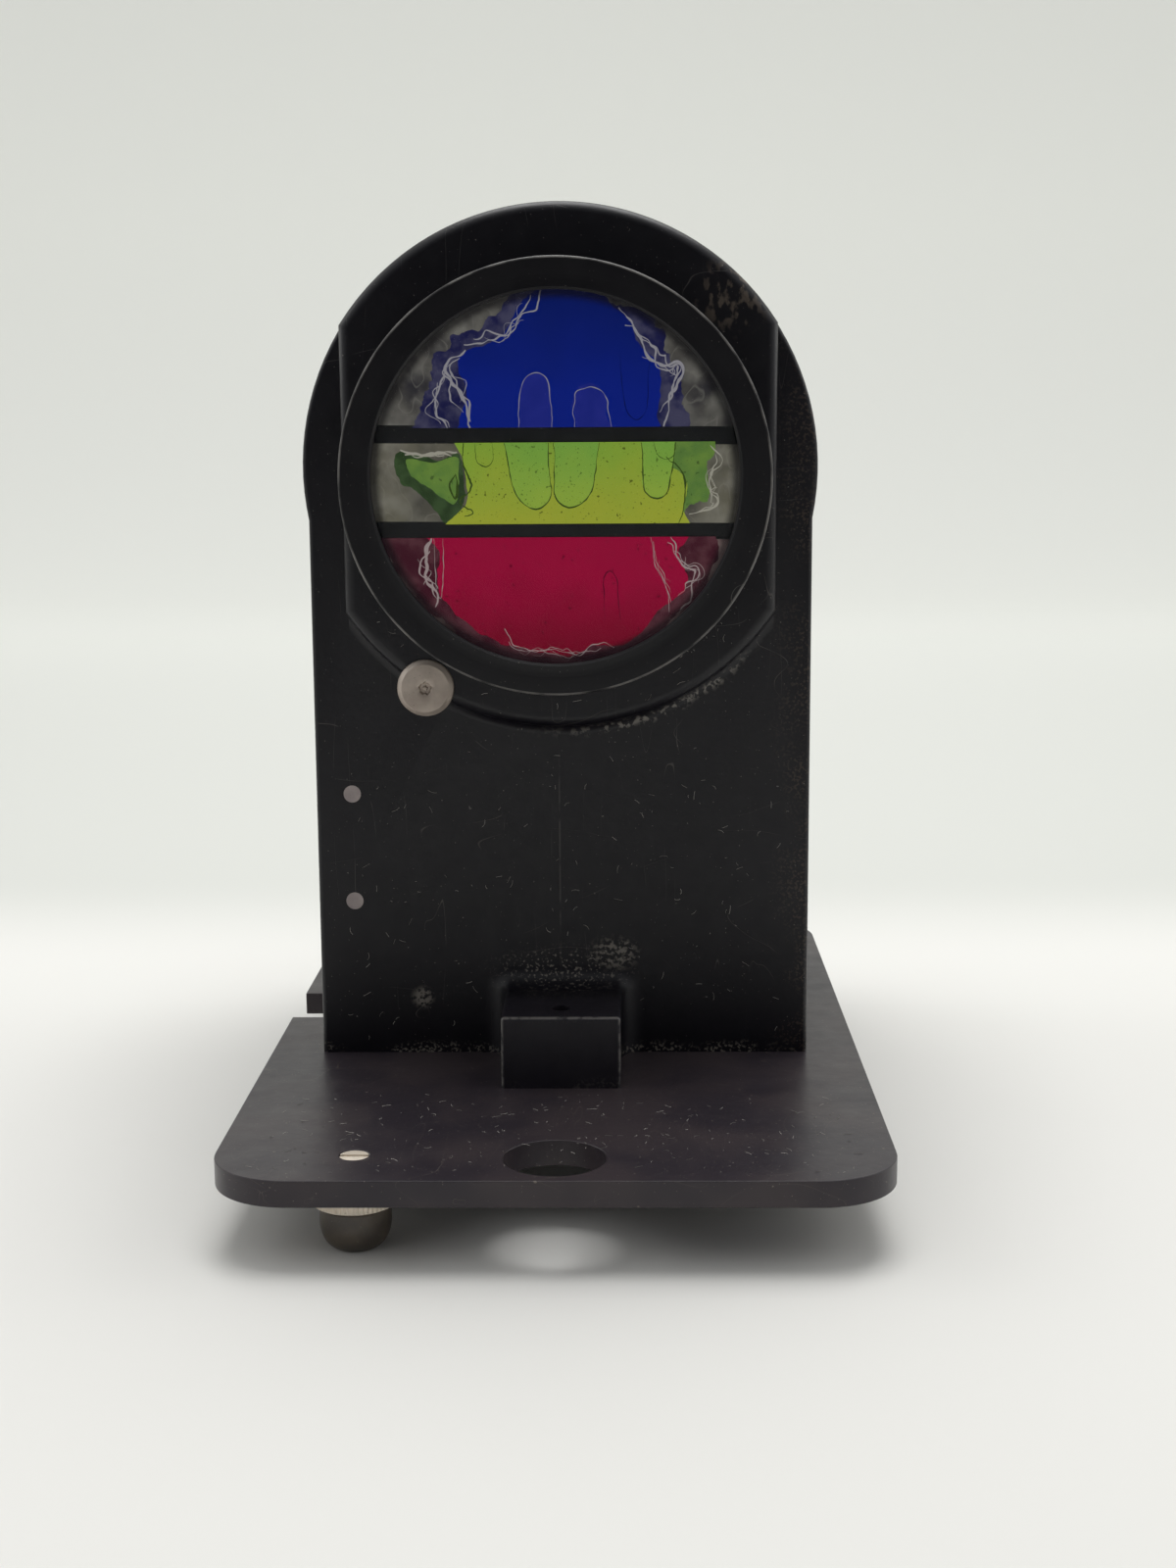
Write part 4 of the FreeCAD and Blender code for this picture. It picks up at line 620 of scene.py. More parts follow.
def turned(name: str, centre: Vector, direction: str, profile: np.ndarray, segments: int = 96,
           radial: Callable[[np.ndarray, np.ndarray], np.ndarray] | None = None) -> bpy.types.Object:
    """A solid of revolution: each profile row (along, radius), in millimetres, swept round an axis.

    A point is centre + along * axis + radius * (cos t, sin t) across it, with t from 0 to a full turn.

    Args:
        name: The object's name.
        centre: A point on the axis, in metres.
        direction: Y for an axis to the front, Z for an upright one.
        profile: Rows of distance along the axis and radius; a radius of 0 closes an end.
        segments: Points round the turn.
        radial: Optional function of radius and angle arrays that gives the radius to use.

    Returns:
        The new object.
    """
    turn = np.linspace(0, 2 * math.pi, segments, endpoint=False)
    along = np.repeat(profile[:, :1], segments, axis=1)
    radius = np.repeat(profile[:, 1:], segments, axis=1)
    angle = np.repeat(turn[None, :], len(profile), axis=0)
    if radial is not None:
        radius = radial(radius, angle)
    across = radius * np.cos(angle)
    side = radius * np.sin(angle)
    stack = (across, along, side) if direction == "Y" else (across, side, along)
    points = np.stack(stack, axis=-1).reshape(-1, 3) * MM + np.array(centre)
    return mesh_object(name, points, grid_faces(len(profile), segments))


def arc_profile(centre: tuple[float, float], radius: float, start: float, end: float,
                count: int = 7) -> np.ndarray:
    """Points on an arc of a profile: centre plus radius times (cos, sin) from start to end, in degrees."""
    turn = np.radians(np.linspace(start, end, count))
    return np.stack([centre[0] + radius * np.cos(turn), centre[1] + radius * np.sin(turn)], axis=-1)


def swept(name: str, path: np.ndarray, radius: float, flatten: float = 0.5,
          sides: int = 8) -> bpy.types.Object:
    """A thin bead along a path in a plane of constant Y.

    A point is path + radius * (cos t * side + flatten * sin t * Y), where side is square to the path. The
    radius swells and thins at random along the bead and closes in at both ends.

    Args:
        name: The object's name.
        path: Places in millimetres.
        radius: Half the bead's width in millimetres.
        flatten: Its height as a share of its width.
        sides: Points round the bead.

    Returns:
        The new object.
    """
    ahead = np.gradient(path, axis=0)
    ahead /= np.linalg.norm(ahead, axis=1, keepdims=True)
    depth = np.array([0.0, 1.0, 0.0])
    side = np.cross(ahead, depth)
    turn = np.linspace(0, 2 * math.pi, sides, endpoint=False)
    taper = np.sin(np.linspace(0.12, math.pi - 0.12, len(path))) ** 0.35
    chance = np.random.default_rng(len(path))
    knots = np.linspace(0, 1, max(len(path) // 6, 2))
    taper *= np.interp(np.linspace(0, 1, len(path)), knots, chance.uniform(0.35, 1.35, len(knots)))
    ring = (np.cos(turn)[None, :, None] * side[:, None, :] + flatten * np.sin(turn)[None, :, None] * depth)
    points = (path[:, None, :] + radius * taper[:, None, None] * ring).reshape(-1, 3) * MM
    faces = grid_faces(len(path), sides)
    last = (len(path) - 1) * sides
    faces += [tuple(range(sides)), tuple(range(last, last + sides))]
    return mesh_object(name, points, faces)


def smooth_path(corners: list[tuple[float, float]], closed: bool = False, steps: int = 8) -> np.ndarray:
    """A curve through a few points: Catmull-Rom pieces, each a cubic of the four points about it."""
    points = np.array(corners, dtype=float)
    if closed:
        padded = np.vstack([points[-1:], points, points[:2]])
    else:
        padded = np.vstack([2 * points[:1] - points[1:2], points, 2 * points[-1:] - points[-2:-1]])
    t = np.linspace(0, 1, steps, endpoint=False)[None, :, None]
    a, b, c, d = (padded[i:len(padded) - 3 + i, None, :] for i in range(4))
    curve = 0.5 * (2 * b + (c - a) * t + (2 * a - 5 * b + 4 * c - d) * t ** 2
                   + (3 * b - a - 3 * c + d) * t ** 3)
    return np.vstack([curve.reshape(-1, 2), padded[-2:-1]])


def refined(node: str, bevel_mm: float = 0.0, segments: int = 2) -> bpy.types.Object:
    """A smooth copy of a CAD node that stands for it, with softened arrises.

    Args:
        node: The CAD node.
        bevel_mm: Width of the softened arris.
        segments: Steps across it.

    Returns:
        The new object, riding with the node's own body.
    """
    source = frame["nodes"][node]
    mesh = source.data.copy()
    mesh.name = node + "_surface"
    form = bmesh.new()
    form.from_mesh(mesh)
    bmesh.ops.remove_doubles(form, verts=form.verts, dist=2e-6)
    bmesh.ops.dissolve_limit(form, angle_limit=math.radians(0.4), verts=form.verts, edges=form.edges)
    form.to_mesh(mesh)
    form.free()
    mesh.materials.clear()
    if mesh.has_custom_normals:
        for layer in [item for item in mesh.attributes if item.name == "custom_normal"]:
            mesh.attributes.remove(layer)
    mesh.shade_smooth()
    mesh.set_sharp_from_angle(angle=SHARP_ANGLE)
    item = bpy.data.objects.new(node + "_surface", mesh)
    bpy.context.scene.collection.objects.link(item)
    if bevel_mm > 0:
        bevel = item.modifiers.new("soft_arris", "BEVEL")
        bevel.width = bevel_mm * MM
        bevel.segments = segments
        bevel.limit_method = "ANGLE"
        bevel.angle_limit = math.radians(40)
        bevel.harden_normals = False
    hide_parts(node)
    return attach(item, source["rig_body"]) or item


def dress(item: bpy.types.Object, material: bpy.types.Material) -> bpy.types.Object:
    """Give a piece its material and log the piece's and the material's names."""
    item.data.materials.clear()
    item.data.materials.append(material)
    LOG.info("%s: %s", item.name, material.name)
    return item


def settle(item: bpy.types.Object, node: str, material: bpy.types.Material) -> bpy.types.Object:
    """Let a new piece stand for a node, ride with it and take its finish."""
    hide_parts(node)
    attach(item, frame["nodes"][node]["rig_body"])
    return dress(item, material)


@dataclass
class Body:
    """The housing and the base plate it stands on."""

    plate_arris: float = 0.35

    def build(self) -> None:
        """Make and dress both."""
        phenolic = MouldedPhenolic("pressed_phenolic", front_marks_and_painted_light=True).build()
        dress(refined("housing"), phenolic)
        dress(refined("base_plate", self.plate_arris), PhenolicSheet().build())


def even_steps(path: np.ndarray, step: float) -> np.ndarray:
    """Points at even distances along a path: its coordinates interpolated over its running length."""
    run = np.concatenate([[0], np.cumsum(np.linalg.norm(np.diff(path, axis=0), axis=1))])
    places = np.linspace(0, run[-1], max(int(run[-1] / step), 4))
    return np.stack([np.interp(places, run, path[:, axis]) for axis in range(2)], axis=-1)


def ragged(path: np.ndarray, size: float, seed: int, wave: float = 4.0) -> np.ndarray:
    """Make a path uneven by shifting it square to itself.

    The shift is the sum of five random courses. Each joins random heights at even knots; its knots are
    half as far apart and its heights 0.55 as large as those of the one before, and it ends where it began.

    Args:
        path: Evenly spaced places.
        size: Height of the widest course in millimetres.
        seed: Picks the heights.
        wave: Distance between the widest course's knots in millimetres.

    Returns:
        The uneven path.
    """
    chance = np.random.default_rng(seed)
    run = np.concatenate([[0], np.cumsum(np.linalg.norm(np.diff(path, axis=0), axis=1))])
    ahead = np.gradient(path, axis=0)
    ahead /= np.maximum(np.linalg.norm(ahead, axis=1, keepdims=True), 1e-9)
    square = np.stack([-ahead[:, 1], ahead[:, 0]], axis=-1)
    shift = np.zeros(len(path))
    for octave in range(5):
        count = max(int(round(run[-1] / wave * 2 ** octave)), 2)
        heights = chance.normal(0, size * 0.55 ** octave, count + 1)
        heights[-1] = heights[0]
        place = run / run[-1] * count
        low = np.minimum(place.astype(int), count - 1)
        share = place - low
        share = share * share * (3 - 2 * share)
        shift += heights[low] * (1 - share) + heights[low + 1] * share
    return path + square * shift[:, None]


def eased(path: np.ndarray, reach: int) -> np.ndarray:
    """Round off a path's corners: each place becomes the mean of itself and its neighbours within reach."""
    weights = np.ones(2 * reach + 1) / (2 * reach + 1)
    padded = np.pad(path, ((reach, reach), (0, 0)), mode="edge")
    return np.stack([np.convolve(padded[:, axis], weights, mode="valid") for axis in range(2)], axis=-1)


def loop(u: float, top: float, low: float, half: float, lean: float = 0.0, up: bool = False) -> np.ndarray:
    """A drip's outline: two sides that close in a round end.

    The sides are straight and half a width apart from the middle line; the end is half an ellipse. The
    middle line shifts sideways by lean over the drip's length.

    Args:
        u: Middle of its open end, across from the lens axis.
        top: Height of the open end.
        low: Height of the closed end.
        half: Half its width.
        lean: Sideways shift of the closed end.
        up: Whether the closed end is above the open one.

    Returns:
        Places in millimetres from the lens axis.
    """
    turn = np.linspace(-math.pi / 2, math.pi / 2, 24)
    sign = -1.0 if up else 1.0
    share = np.concatenate([np.linspace(0, 0.72, 10), 0.72 + 0.28 * np.cos(turn), np.linspace(0.72, 0, 10)])
    across = np.concatenate([-np.ones(10), np.sin(turn), np.ones(10)])
    width = half * (1.12 - 0.24 * share)
    length = abs(top - low)
    return np.stack([u + across * width + lean * share ** 1.5, top - sign * share * length], axis=-1)


@dataclass(frozen=True)
class Patch:
    """A piece of gelatine behind the glass with a ragged outline."""

    name: str
    film: Film
    outline: list[tuple[float, float]] | np.ndarray
    finish: LitGelatine
    layer: int = 1
    raggedness: float = 0.35
    seed: int = 1


@dataclass(frozen=True)
class Bead:
    """A line of squeezed-out cement: pale where it has crazed, dark where it still bends the light."""

    film: Film
    path: list[tuple[float, float]] | np.ndarray
    pale: bool = False
    radius: float = 0.14
    raggedness: float = 0.15
    seed: int = 1


@dataclass
class Lens:
    """The barrel, its glass, the filter stack behind it and the lamps' light."""

    axis: Vector = field(default_factory=lambda: middle("front_glass"))
    aperture: float = 28.0
    rim: float = 32.9
    layer_step: float = 0.07
    glass_gap: float = 0.5

    def build(self) -> None:
        """Make and dress the pieces from the front ring back to the diffuser."""
        self.barrel()
        self.glass()
        self.films()
        self.patches()
        self.beads()

    def centre(self) -> tuple[float, float]:
        """The lens axis in millimetres, across and up."""
        return (self.axis.x / MM, self.axis.z / MM)

    def barrel(self) -> None:
        """Turned barrel: rounded outer arris, slightly dished front ring and a thin inner chamfer."""
        low, high = (Vector(corner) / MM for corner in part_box("lens_barrel"))
        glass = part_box("front_glass")[0][1] / MM
        front, back, flange = low.y, high.y, high.x - self.axis.x / MM
        wall = back - 2.0
        outer = np.vstack([
            [[front + 0.45, self.aperture]],
            [[front + 0.12, self.aperture + 0.4]],
            [[front + 0.3, self.aperture + 2.2]],
            arc_profile((front + 0.4, self.rim - 0.4), 0.4, 180, 90, 6),
            [[wall, self.rim], [wall, flange], [back, flange], [back, 29.6], [glass, 29.6],
             [glass, self.aperture], [front + 0.45, self.aperture]],
        ])
        centre = Vector((self.axis.x, 0, self.axis.z))
        item = turned("lens_barrel_turned", centre, "Y", outer, 160)
        finish = TurnedPhenolic("turned_phenolic", self.centre(), self.rim, front)
        settle(item, "lens_barrel", finish.build())

    def glass(self) -> None:
        """Front glass: a thin disc with a ground edge."""
        low, high = (Vector(corner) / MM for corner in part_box("front_glass"))
        radius = (high.x - low.x) / 2
        back = high.y - self.glass_gap
        rows = np.array([[low.y + 0.02, 0.0], [low.y + 0.02, radius - 0.2], [low.y + 0.2, radius],
                         [back - 0.15, radius], [back, radius - 0.2], [back, 0.0]])
        item = turned("front_glass_disc", Vector((self.axis.x, 0, self.axis.z)), "Y", rows, 128)
        settle(item, "front_glass", ClearGlass("window_glass", bend=1.16).build())

    def films(self) -> None:
        """Finish of the films' clouded borders, the bars between them, the diffuser and the ring."""
        centre = self.centre()
        for finish in (CloudedCement(Film.BLUE, centre, "#28272b", "#66645f", "#43413e"),
                       CloudedCement(Film.GREEN, centre, "#3f3d38", "#6f6c63", "#585549"),
                       CloudedCement(Film.RED, centre, "#352228", "#7d6c69", "#54403f")):
            dress(frame["nodes"][finish.film.node], finish.build())
        bars = PlainMoulding("blackened_strip", "#0a0b0e", "#101116", 0.4).build()
        for node in ("upper_divider_bar", "lower_divider_bar"):
            dress(frame["nodes"][node], bars)
        opal = ClearGlass("opal_glass", "#f1efe8", 0.5, 0.35).build()
        dress(frame["nodes"]["opal_diffuser"], opal)
        ring = DulledMetal("blued_spring_steel", "#565a60", "#3b3d42")
        dress(frame["nodes"]["filter_retaining_ring"], ring.build())

    def limits(self, film: Film) -> tuple[float, float, float]:
        """A film's front face, lowest and highest place, in millimetres; heights from the lens axis."""
        low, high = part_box(film.node)
        return low[1] / MM, (low[2] - self.axis.z) / MM, (high[2] - self.axis.z) / MM

    def kept_in(self, path: np.ndarray, film: Film) -> np.ndarray:
        """Keep a path within its film's strip and within the disc: each coordinate limited to them."""
        low, high = self.limits(film)[1:]
        flat = np.stack([path[:, 0], np.clip(path[:, 1], low + 0.02, high - 0.02)], axis=-1)
        reach = self.aperture + 1.2
        half = np.sqrt(np.maximum(reach ** 2 - flat[:, 1] ** 2, 0.0))
        flat[:, 0] = np.clip(flat[:, 0], -half, half)
        return flat

    def placed(self, path: np.ndarray, film: Film, layer: float) -> np.ndarray:
        """Put a path in front of its film, as places in millimetres of the model's own frame."""
        front = self.limits(film)[0] - layer * self.layer_step
        return np.stack([path[:, 0] + self.axis.x / MM, np.full(len(path), front),
                         path[:, 1] + self.axis.z / MM], axis=-1)

    def patches(self) -> None:
        """Sheets of gelatine: halos lowest, the clear colour over them and the blisters on top."""
        violet = LitGelatine("violet_stained_cement", "#17183c", "#3a394f", 2.6, specks=0.0)
        maroon = LitGelatine("red_stained_cement", "#37141f", "#4d2c33", 2.6, specks=0.0)
        blue = LitGelatine("blue_gelatine", "#091b70", "#07144c", 9.0, specks=0.0, fade=(124.0, 141.0))
        blister = LitGelatine("blistered_blue_gelatine", "#17206e", "#1d2474", 4.0, specks=0.0)
        lime = LitGelatine("yellow_green_gelatine", "#8b9330", "#6f8f33", 5.0, "#3a3d12", 0.8,
                           (105.0, 118.0))
        leaf = LitGelatine("green_gelatine", "#7d9638", "#688f3a", 5.0, "#2c3a10", 0.6, (107.0, 116.0))
        moss = LitGelatine("dull_green_gelatine", "#4c6a33", "#5c7835", 3.0, "#23301a", 0.6)
        red = LitGelatine("red_gelatine", "#66081f", "#860a30", 5.0, "#3d0414", 0.6, (84.0, 96.0))
        edge = LitGelatine("dark_green_rim", "#26351f", "#33452a", 2.0, specks=0.0)
        pieces = [
            Patch("blue_halo", Film.BLUE, [(-20.5, 5.0), (-20.0, 12.0), (-16.5, 19.0), (-8.0, 26.0),
                                           (2.0, 29.0), (11.0, 25.5), (18.5, 17.5), (20.0, 11.0),
                                           (18.0, 5.0)], violet, 0, 0.8, 5),
            Patch("blue_clear", Film.BLUE, [(-13.2, 3.0), (-13.8, 12.0), (-14.1, 17.0), (-13.0, 18.8),
                                            (-9.5, 20.2), (-6.4, 23.6), (-1.5, 28.6), (5.0, 28.0),
                                            (9.5, 25.5), (13.3, 20.0), (15.8, 15.6), (15.2, 10.0),
                                            (14.8, 3.0)], blue, 1, 0.3, 2),
            Patch("blue_left_blister", Film.BLUE, loop(-3.1, 5.0, 15.9, 2.5, 0.3, True), blister, 2, 0.12,
                  3),
            Patch("blue_right_blister", Film.BLUE, loop(5.9, 5.0, 14.0, 2.6, -0.5, True), blister, 2, 0.25,
                  4),
            Patch("green_left_rim", Film.GREEN, [(-24.0, 3.9), (-19.0, 3.0), (-14.6, 3.6), (-14.8, -8.0),
                                                 (-16.6, -6.6), (-20.4, -2.2), (-23.4, -0.2)], edge, 0, 0.3,
                  6),
            Patch("green_left", Film.GREEN, [(-22.6, 3.2), (-18.6, 2.5), (-14.6, 3.2), (-15.2, -3.6),
                                             (-17.4, -3.0), (-20.2, -0.9), (-22.3, 0.8)], moss, 1, 0.2, 7),
            Patch("green_right", Film.GREEN, [(15.0, 9.0), (22.8, 9.0), (24.6, 3.4), (23.8, 0.0),
                                              (23.2, -3.4), (20.0, -5.2), (18.6, -9.0), (14.0, -9.0)], moss,
                  0, 0.5, 8),
            Patch("green_clear", Film.GREEN, [(-14.2, 9.0), (-13.8, 3.0), (-13.6, -3.0), (-15.4, -9.0),
                                              (17.6, -9.0), (19.4, -4.4), (20.0, -1.2), (18.8, 1.4),
                                              (16.8, 3.0), (15.8, 9.0)], lime, 1, 0.15, 9),
            Patch("green_drip_left", Film.GREEN, loop(-4.4, 7.5, -4.5, 3.0, 1.4), leaf, 2, 0.12, 10),
            Patch("green_drip_middle", Film.GREEN, loop(3.3, 7.5, -4.3, 3.2, -1.0), leaf, 2, 0.12, 11),
            Patch("green_drip_right", Film.GREEN, loop(15.6, 7.5, -3.1, 2.4, -0.2), leaf, 2, 0.15, 12),
            Patch("red_halo", Film.RED, [(-27.0, -6.0), (-24.0, -14.0), (-19.0, -21.0), (-9.0, -27.8),
                                         (8.0, -28.4), (18.0, -21.0), (24.0, -14.0), (20.0, -6.0)], maroon,
                  0, 0.4, 13),
            Patch("red_clear", Film.RED, [(-16.9, -6.0), (-17.2, -12.0), (-16.8, -18.4), (-12.4, -23.4),
                                          (-4.0, -26.4), (5.0, -26.6), (12.6, -23.8), (18.0, -18.8),
                                          (20.0, -15.6), (18.6, -11.4), (17.4, -6.0)], red, 1, 0.3, 14),
        ]
        for piece in pieces:
            self.patch(piece)

    def patch(self, piece: Patch) -> None:
        """Lay one sheet: its smooth outline made ragged, kept in its strip, and given a thickness."""
        outline = piece.outline
        if isinstance(outline, list):
            outline = smooth_path(outline, closed=True)
        else:
            outline = np.vstack([outline, outline[:1]])
        edge = ragged(even_steps(outline, 0.22), piece.raggedness, piece.seed)[:-1]
        front = self.placed(self.kept_in(edge, piece.film), piece.film, piece.layer + 1)
        back = front + np.array([0.0, 0.03, 0.0])
        count = len(front)
        faces = [tuple(range(count)), tuple(range(count, 2 * count))] + grid_faces(2, count)
        item = mesh_object(piece.name, np.vstack([front, back]) * MM, faces, smooth=False)
        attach(item, "frame")
        dress(item, piece.finish.build())

    def beads(self) -> None:
        """Cement lines: drips' dark outlines in the green, crazed white ones beside the blue and red."""
        lines = [
            Bead(Film.GREEN, loop(-4.4, 7.5, -4.5, 3.0, 1.4), seed=10, raggedness=0.12),
            Bead(Film.GREEN, loop(3.3, 7.5, -4.3, 3.2, -1.0), seed=11, raggedness=0.12),
            Bead(Film.GREEN, loop(15.6, 7.5, -3.1, 2.4, -0.2), seed=12),
            Bead(Film.GREEN, loop(16.4, 7.5, 2.8, 1.6, 0.4), seed=16, radius=0.1),
            Bead(Film.GREEN, loop(-10.8, 7.5, 1.8, 1.3, 0.2), seed=15, radius=0.1),
            Bead(Film.GREEN, [(16.8, 3.2), (19.4, 0.6), (19.7, -3.4), (18.6, -7.4)], seed=17, radius=0.2),
            Bead(Film.GREEN, [(-13.6, 7.0), (-13.9, 2.0), (-13.2, -1.6), (-14.2, -3.4), (-12.6, -5.0),
                              (-13.9, -5.6)], seed=18, raggedness=0.3, radius=0.18),
            Bead(Film.GREEN, [(-15.2, 0.6), (-16.2, -1.0), (-15.3, -2.9), (-14.8, -1.0), (-15.3, 0.8)],
                 seed=19, radius=0.22),
            Bead(Film.GREEN, [(-23.6, 4.6), (-20.0, 3.5), (-14.8, 4.2)], True, 0.3, 0.3, 20),
            Bead(Film.GREEN, [(23.4, 5.0), (24.8, 2.0), (23.2, -1.4), (24.4, -4.0), (20.2, -5.4)], True,
                 0.2, 0.5, 21),
            Bead(Film.BLUE, [(-13.0, 7.0), (-14.2, 12.0), (-15.9, 16.4), (-13.6, 19.6)], True, 0.3, 0.45,
                 22),
            Bead(Film.BLUE, [(-13.6, 19.6), (-9.6, 20.6), (-6.6, 22.6), (-4.0, 25.4), (-1.6, 27.8)], True,
                 0.22, 0.5, 23),
            Bead(Film.BLUE, [(-15.0, 7.0), (-18.6, 11.0), (-15.8, 16.4)], True, 0.22, 0.5, 24),
            Bead(Film.BLUE, [(9.6, 25.4), (12.6, 21.6), (15.8, 17.0), (19.0, 16.6), (17.2, 11.6),
                             (16.2, 7.0)], True, 0.3, 0.45, 25),
            Bead(Film.BLUE, loop(-3.1, 5.0, 15.9, 2.5, 0.3, True), True, 0.1, 0.12, 3),
            Bead(Film.BLUE, loop(5.9, 5.0, 14.0, 2.6, -0.5, True), True, 0.1, 0.25, 4),
            Bead(Film.BLUE, loop(12.2, 18.6, 8.6, 1.9, 0.2), False, 0.09, 0.1, 26),
            Bead(Film.RED, [(-19.4, -8.0), (-20.0, -12.6), (-18.6, -17.4), (-19.0, -19.4)], True, 0.34, 0.4,
                 27),
            Bead(Film.RED, loop(-18.0, -8.0, -18.2, 0.6, 0.2), True, 0.09, 0.1, 28),
            Bead(Film.RED, [(14.4, -8.0), (15.2, -13.0), (17.0, -16.4), (17.4, -20.4)], True, 0.1, 0.2, 29),
            Bead(Film.RED, [(16.6, -8.0), (19.6, -13.0), (21.4, -14.4), (18.2, -19.6)], True, 0.2, 0.5, 30),
            Bead(Film.RED, loop(8.6, -21.6, -14.0, 1.1, -0.4, True), False, 0.12, 0.15, 31),
            Bead(Film.RED, [(-8.0, -22.6), (-6.0, -26.0), (2.0, -26.0), (9.0, -25.6)], True, 0.12, 0.5, 32),
        ]
        tones = {
            (Film.GREEN, False): "#2f4018", (Film.BLUE, False): "#070f3a", (Film.RED, False): "#4e0820",
            (Film.GREEN, True): "#8b887d", (Film.BLUE, True): "#7e7c82", (Film.RED, True): "#8a7c7c",
        }
        shades = {}
        for (film, pale), tone in tones.items():
            name = f"{'crazed' if pale else 'clear'}_cement_on_{film.value}"
            shades[film, pale] = LitGelatine(name, tone, tone, 2.0, specks=0.0).build()
        for index, line in enumerate(lines, start=1):
            strands = 4 if line.pale and isinstance(line.path, list) else 1
            for strand in range(strands):
                item = self.strand(f"cement_line_{index:02d}_{strand + 1}", line, strand)
                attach(item, "frame")
                dress(item, shades[line.film, line.pale])

    def strand(self, name: str, line: Bead, strand: int) -> bpy.types.Object:
        """One strand of a line; a crazed line has several that part and meet.

        Args:
            name: The piece's name.
            line: The line it belongs to.
            strand: Its number, from 0.

        Returns:
            The strand.
        """
        path = smooth_path(line.path) if isinstance(line.path, list) else line.path
        path = even_steps(path, 0.13)
        start = len(path) * strand // 9
        path = path[start:len(path) - start]
        size = line.raggedness * (0.8 + 0.25 * strand)
        path = ragged(path, size, line.seed + 40 * strand, 2.6 if line.pale else 4.0)
        if line.pale:
            path = eased(path, 3)
        inside = self.kept_in(path, line.film)
        kept = path[np.abs(inside - path).max(axis=1) < 0.02]
        radius = line.radius * (0.7 - 0.17 * strand)
        return swept(name, self.placed(kept, line.film, 4 + 0.4 * strand), radius, 0.3)


@dataclass
class Hardware:
    """Keeper pin, rivets, studs, nuts and foot domes."""

    knurl_count: int = 56
    knurl_depth: float = 0.22

    def build(self) -> None:
        """Make and dress the visible metal pieces and the feet."""
        self.pin()
        self.feet()
        rivet = DulledMetal("filed_aluminium", "#bdb1ae", "#9d9391", metallic=0.3, roughness=0.45)
        dress(frame["nodes"]["bracket_rivets"], rivet.build())

    def pin(self) -> None:
        """Headed pin: chamfered rim, faintly domed face and a small torn centre."""
        low, high = (Vector(corner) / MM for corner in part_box("keeper_pin"))
        centre = middle("keeper_pin")
        radius = (high.x - low.x) / 2
        front = low.y
        rows = np.vstack([
            [[front + 0.12, 0.0], [front + 0.18, 0.25], [front + 0.6, 0.42], [front + 0.6, 0.8],
             [front + 0.1, 1.05],
             [front + 0.05, 1.2], [front + 0.05, 1.8], [front + 0.06, radius - 1.0]],
            [[front + 0.1, radius - 0.75], [front + 0.65, radius - 0.12]],
            [[front + 0.85, radius], [front + 6.65, radius], [front + 6.65, 2.4], [high.y, 2.4],
             [high.y, 0.0]],
        ])

        def torn(radii: np.ndarray, angles: np.ndarray) -> np.ndarray:
            """Make the small inner rings uneven, as where the metal was torn off in turning."""
            uneven = 1 + 0.07 * np.sin(5 * angles + 0.4) + 0.05 * np.sin(9 * angles)
            return np.where(radii < 1.3, radii * uneven, radii)

        item = turned("keeper_pin_turned", Vector((centre.x, 0, centre.z)), "Y", rows, 72, torn)
        steel = DulledMetal("dulled_steel", "#c6b9ad", "#a3968b", metallic=0.3, roughness=0.36)
        settle(item, "keeper_pin", steel.build())

    def feet(self) -> None:
        """Each foot: knurled nut, moulded dome; the three studs share one node."""
        nickel = DulledMetal("dulled_nickel", "#f6ead8", "#d6cab9", metallic=0.12, roughness=0.36).build()
        dome = PlainMoulding("olive_phenolic", "#453e37", "#544b40", 0.34).build()
        dress(frame["nodes"]["foot_studs"], nickel)
        for side in ("front_left", "right", "rear_left"):
            self.nut(f"{side}_knurled_nut", nickel)
            self.dome(f"{side}_foot", dome)

    def nut(self, node: str, material: bpy.types.Material) -> None:
        """Knurled nut: a ring whose outer wall swells and dips with the angle, with chamfered ends."""
        low, high = (Vector(corner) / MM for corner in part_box(node))
        centre = middle(node)
        radius, bore = (high.x - low.x) / 2, 2.24
        rows = np.array([[low.z, bore], [low.z, radius - 0.8], [low.z + 0.4, radius - 0.02],
                         [high.z - 0.4, radius], [high.z, radius - 0.8], [high.z, bore], [low.z, bore]])

        def knurl(radii: np.ndarray, angles: np.ndarray) -> np.ndarray:
            """Take a rounded tooth out of the outer wall."""
            tooth = self.knurl_depth * (1 + np.cos(self.knurl_count * angles)) / 2
            return np.where(radii > radius - 0.5, radii - tooth, radii)

        item = turned(node + "_knurled", Vector((centre.x, centre.y, 0)), "Z", rows, self.knurl_count * 8,
                      knurl)
        settle(item, node, material)

    def dome(self, node: str, material: bpy.types.Material) -> None:
        """Foot dome: a straight skirt that rounds over to a small flat on the floor."""
        low, high = (Vector(corner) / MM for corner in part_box(node))
        centre = middle(node)
        radius, top = (high.x - low.x) / 2, high.z
        turn = np.radians(np.linspace(0, 78, 12))
        rows = np.vstack([
            [[top, 0.0], [top, radius - 0.3], [top - 0.25, radius]],
            np.stack([(top * 0.62) * (1 - np.sin(turn) / math.sin(turn[-1])),
                      radius - (radius * 0.42) * (1 - np.cos(turn)) / (1 - math.cos(turn[-1]))], axis=-1),
            [[0.0, 0.0]],
        ])
        item = turned(node + "_turned", Vector((centre.x, centre.y, 0)), "Z", rows, 64)
        settle(item, node, material)


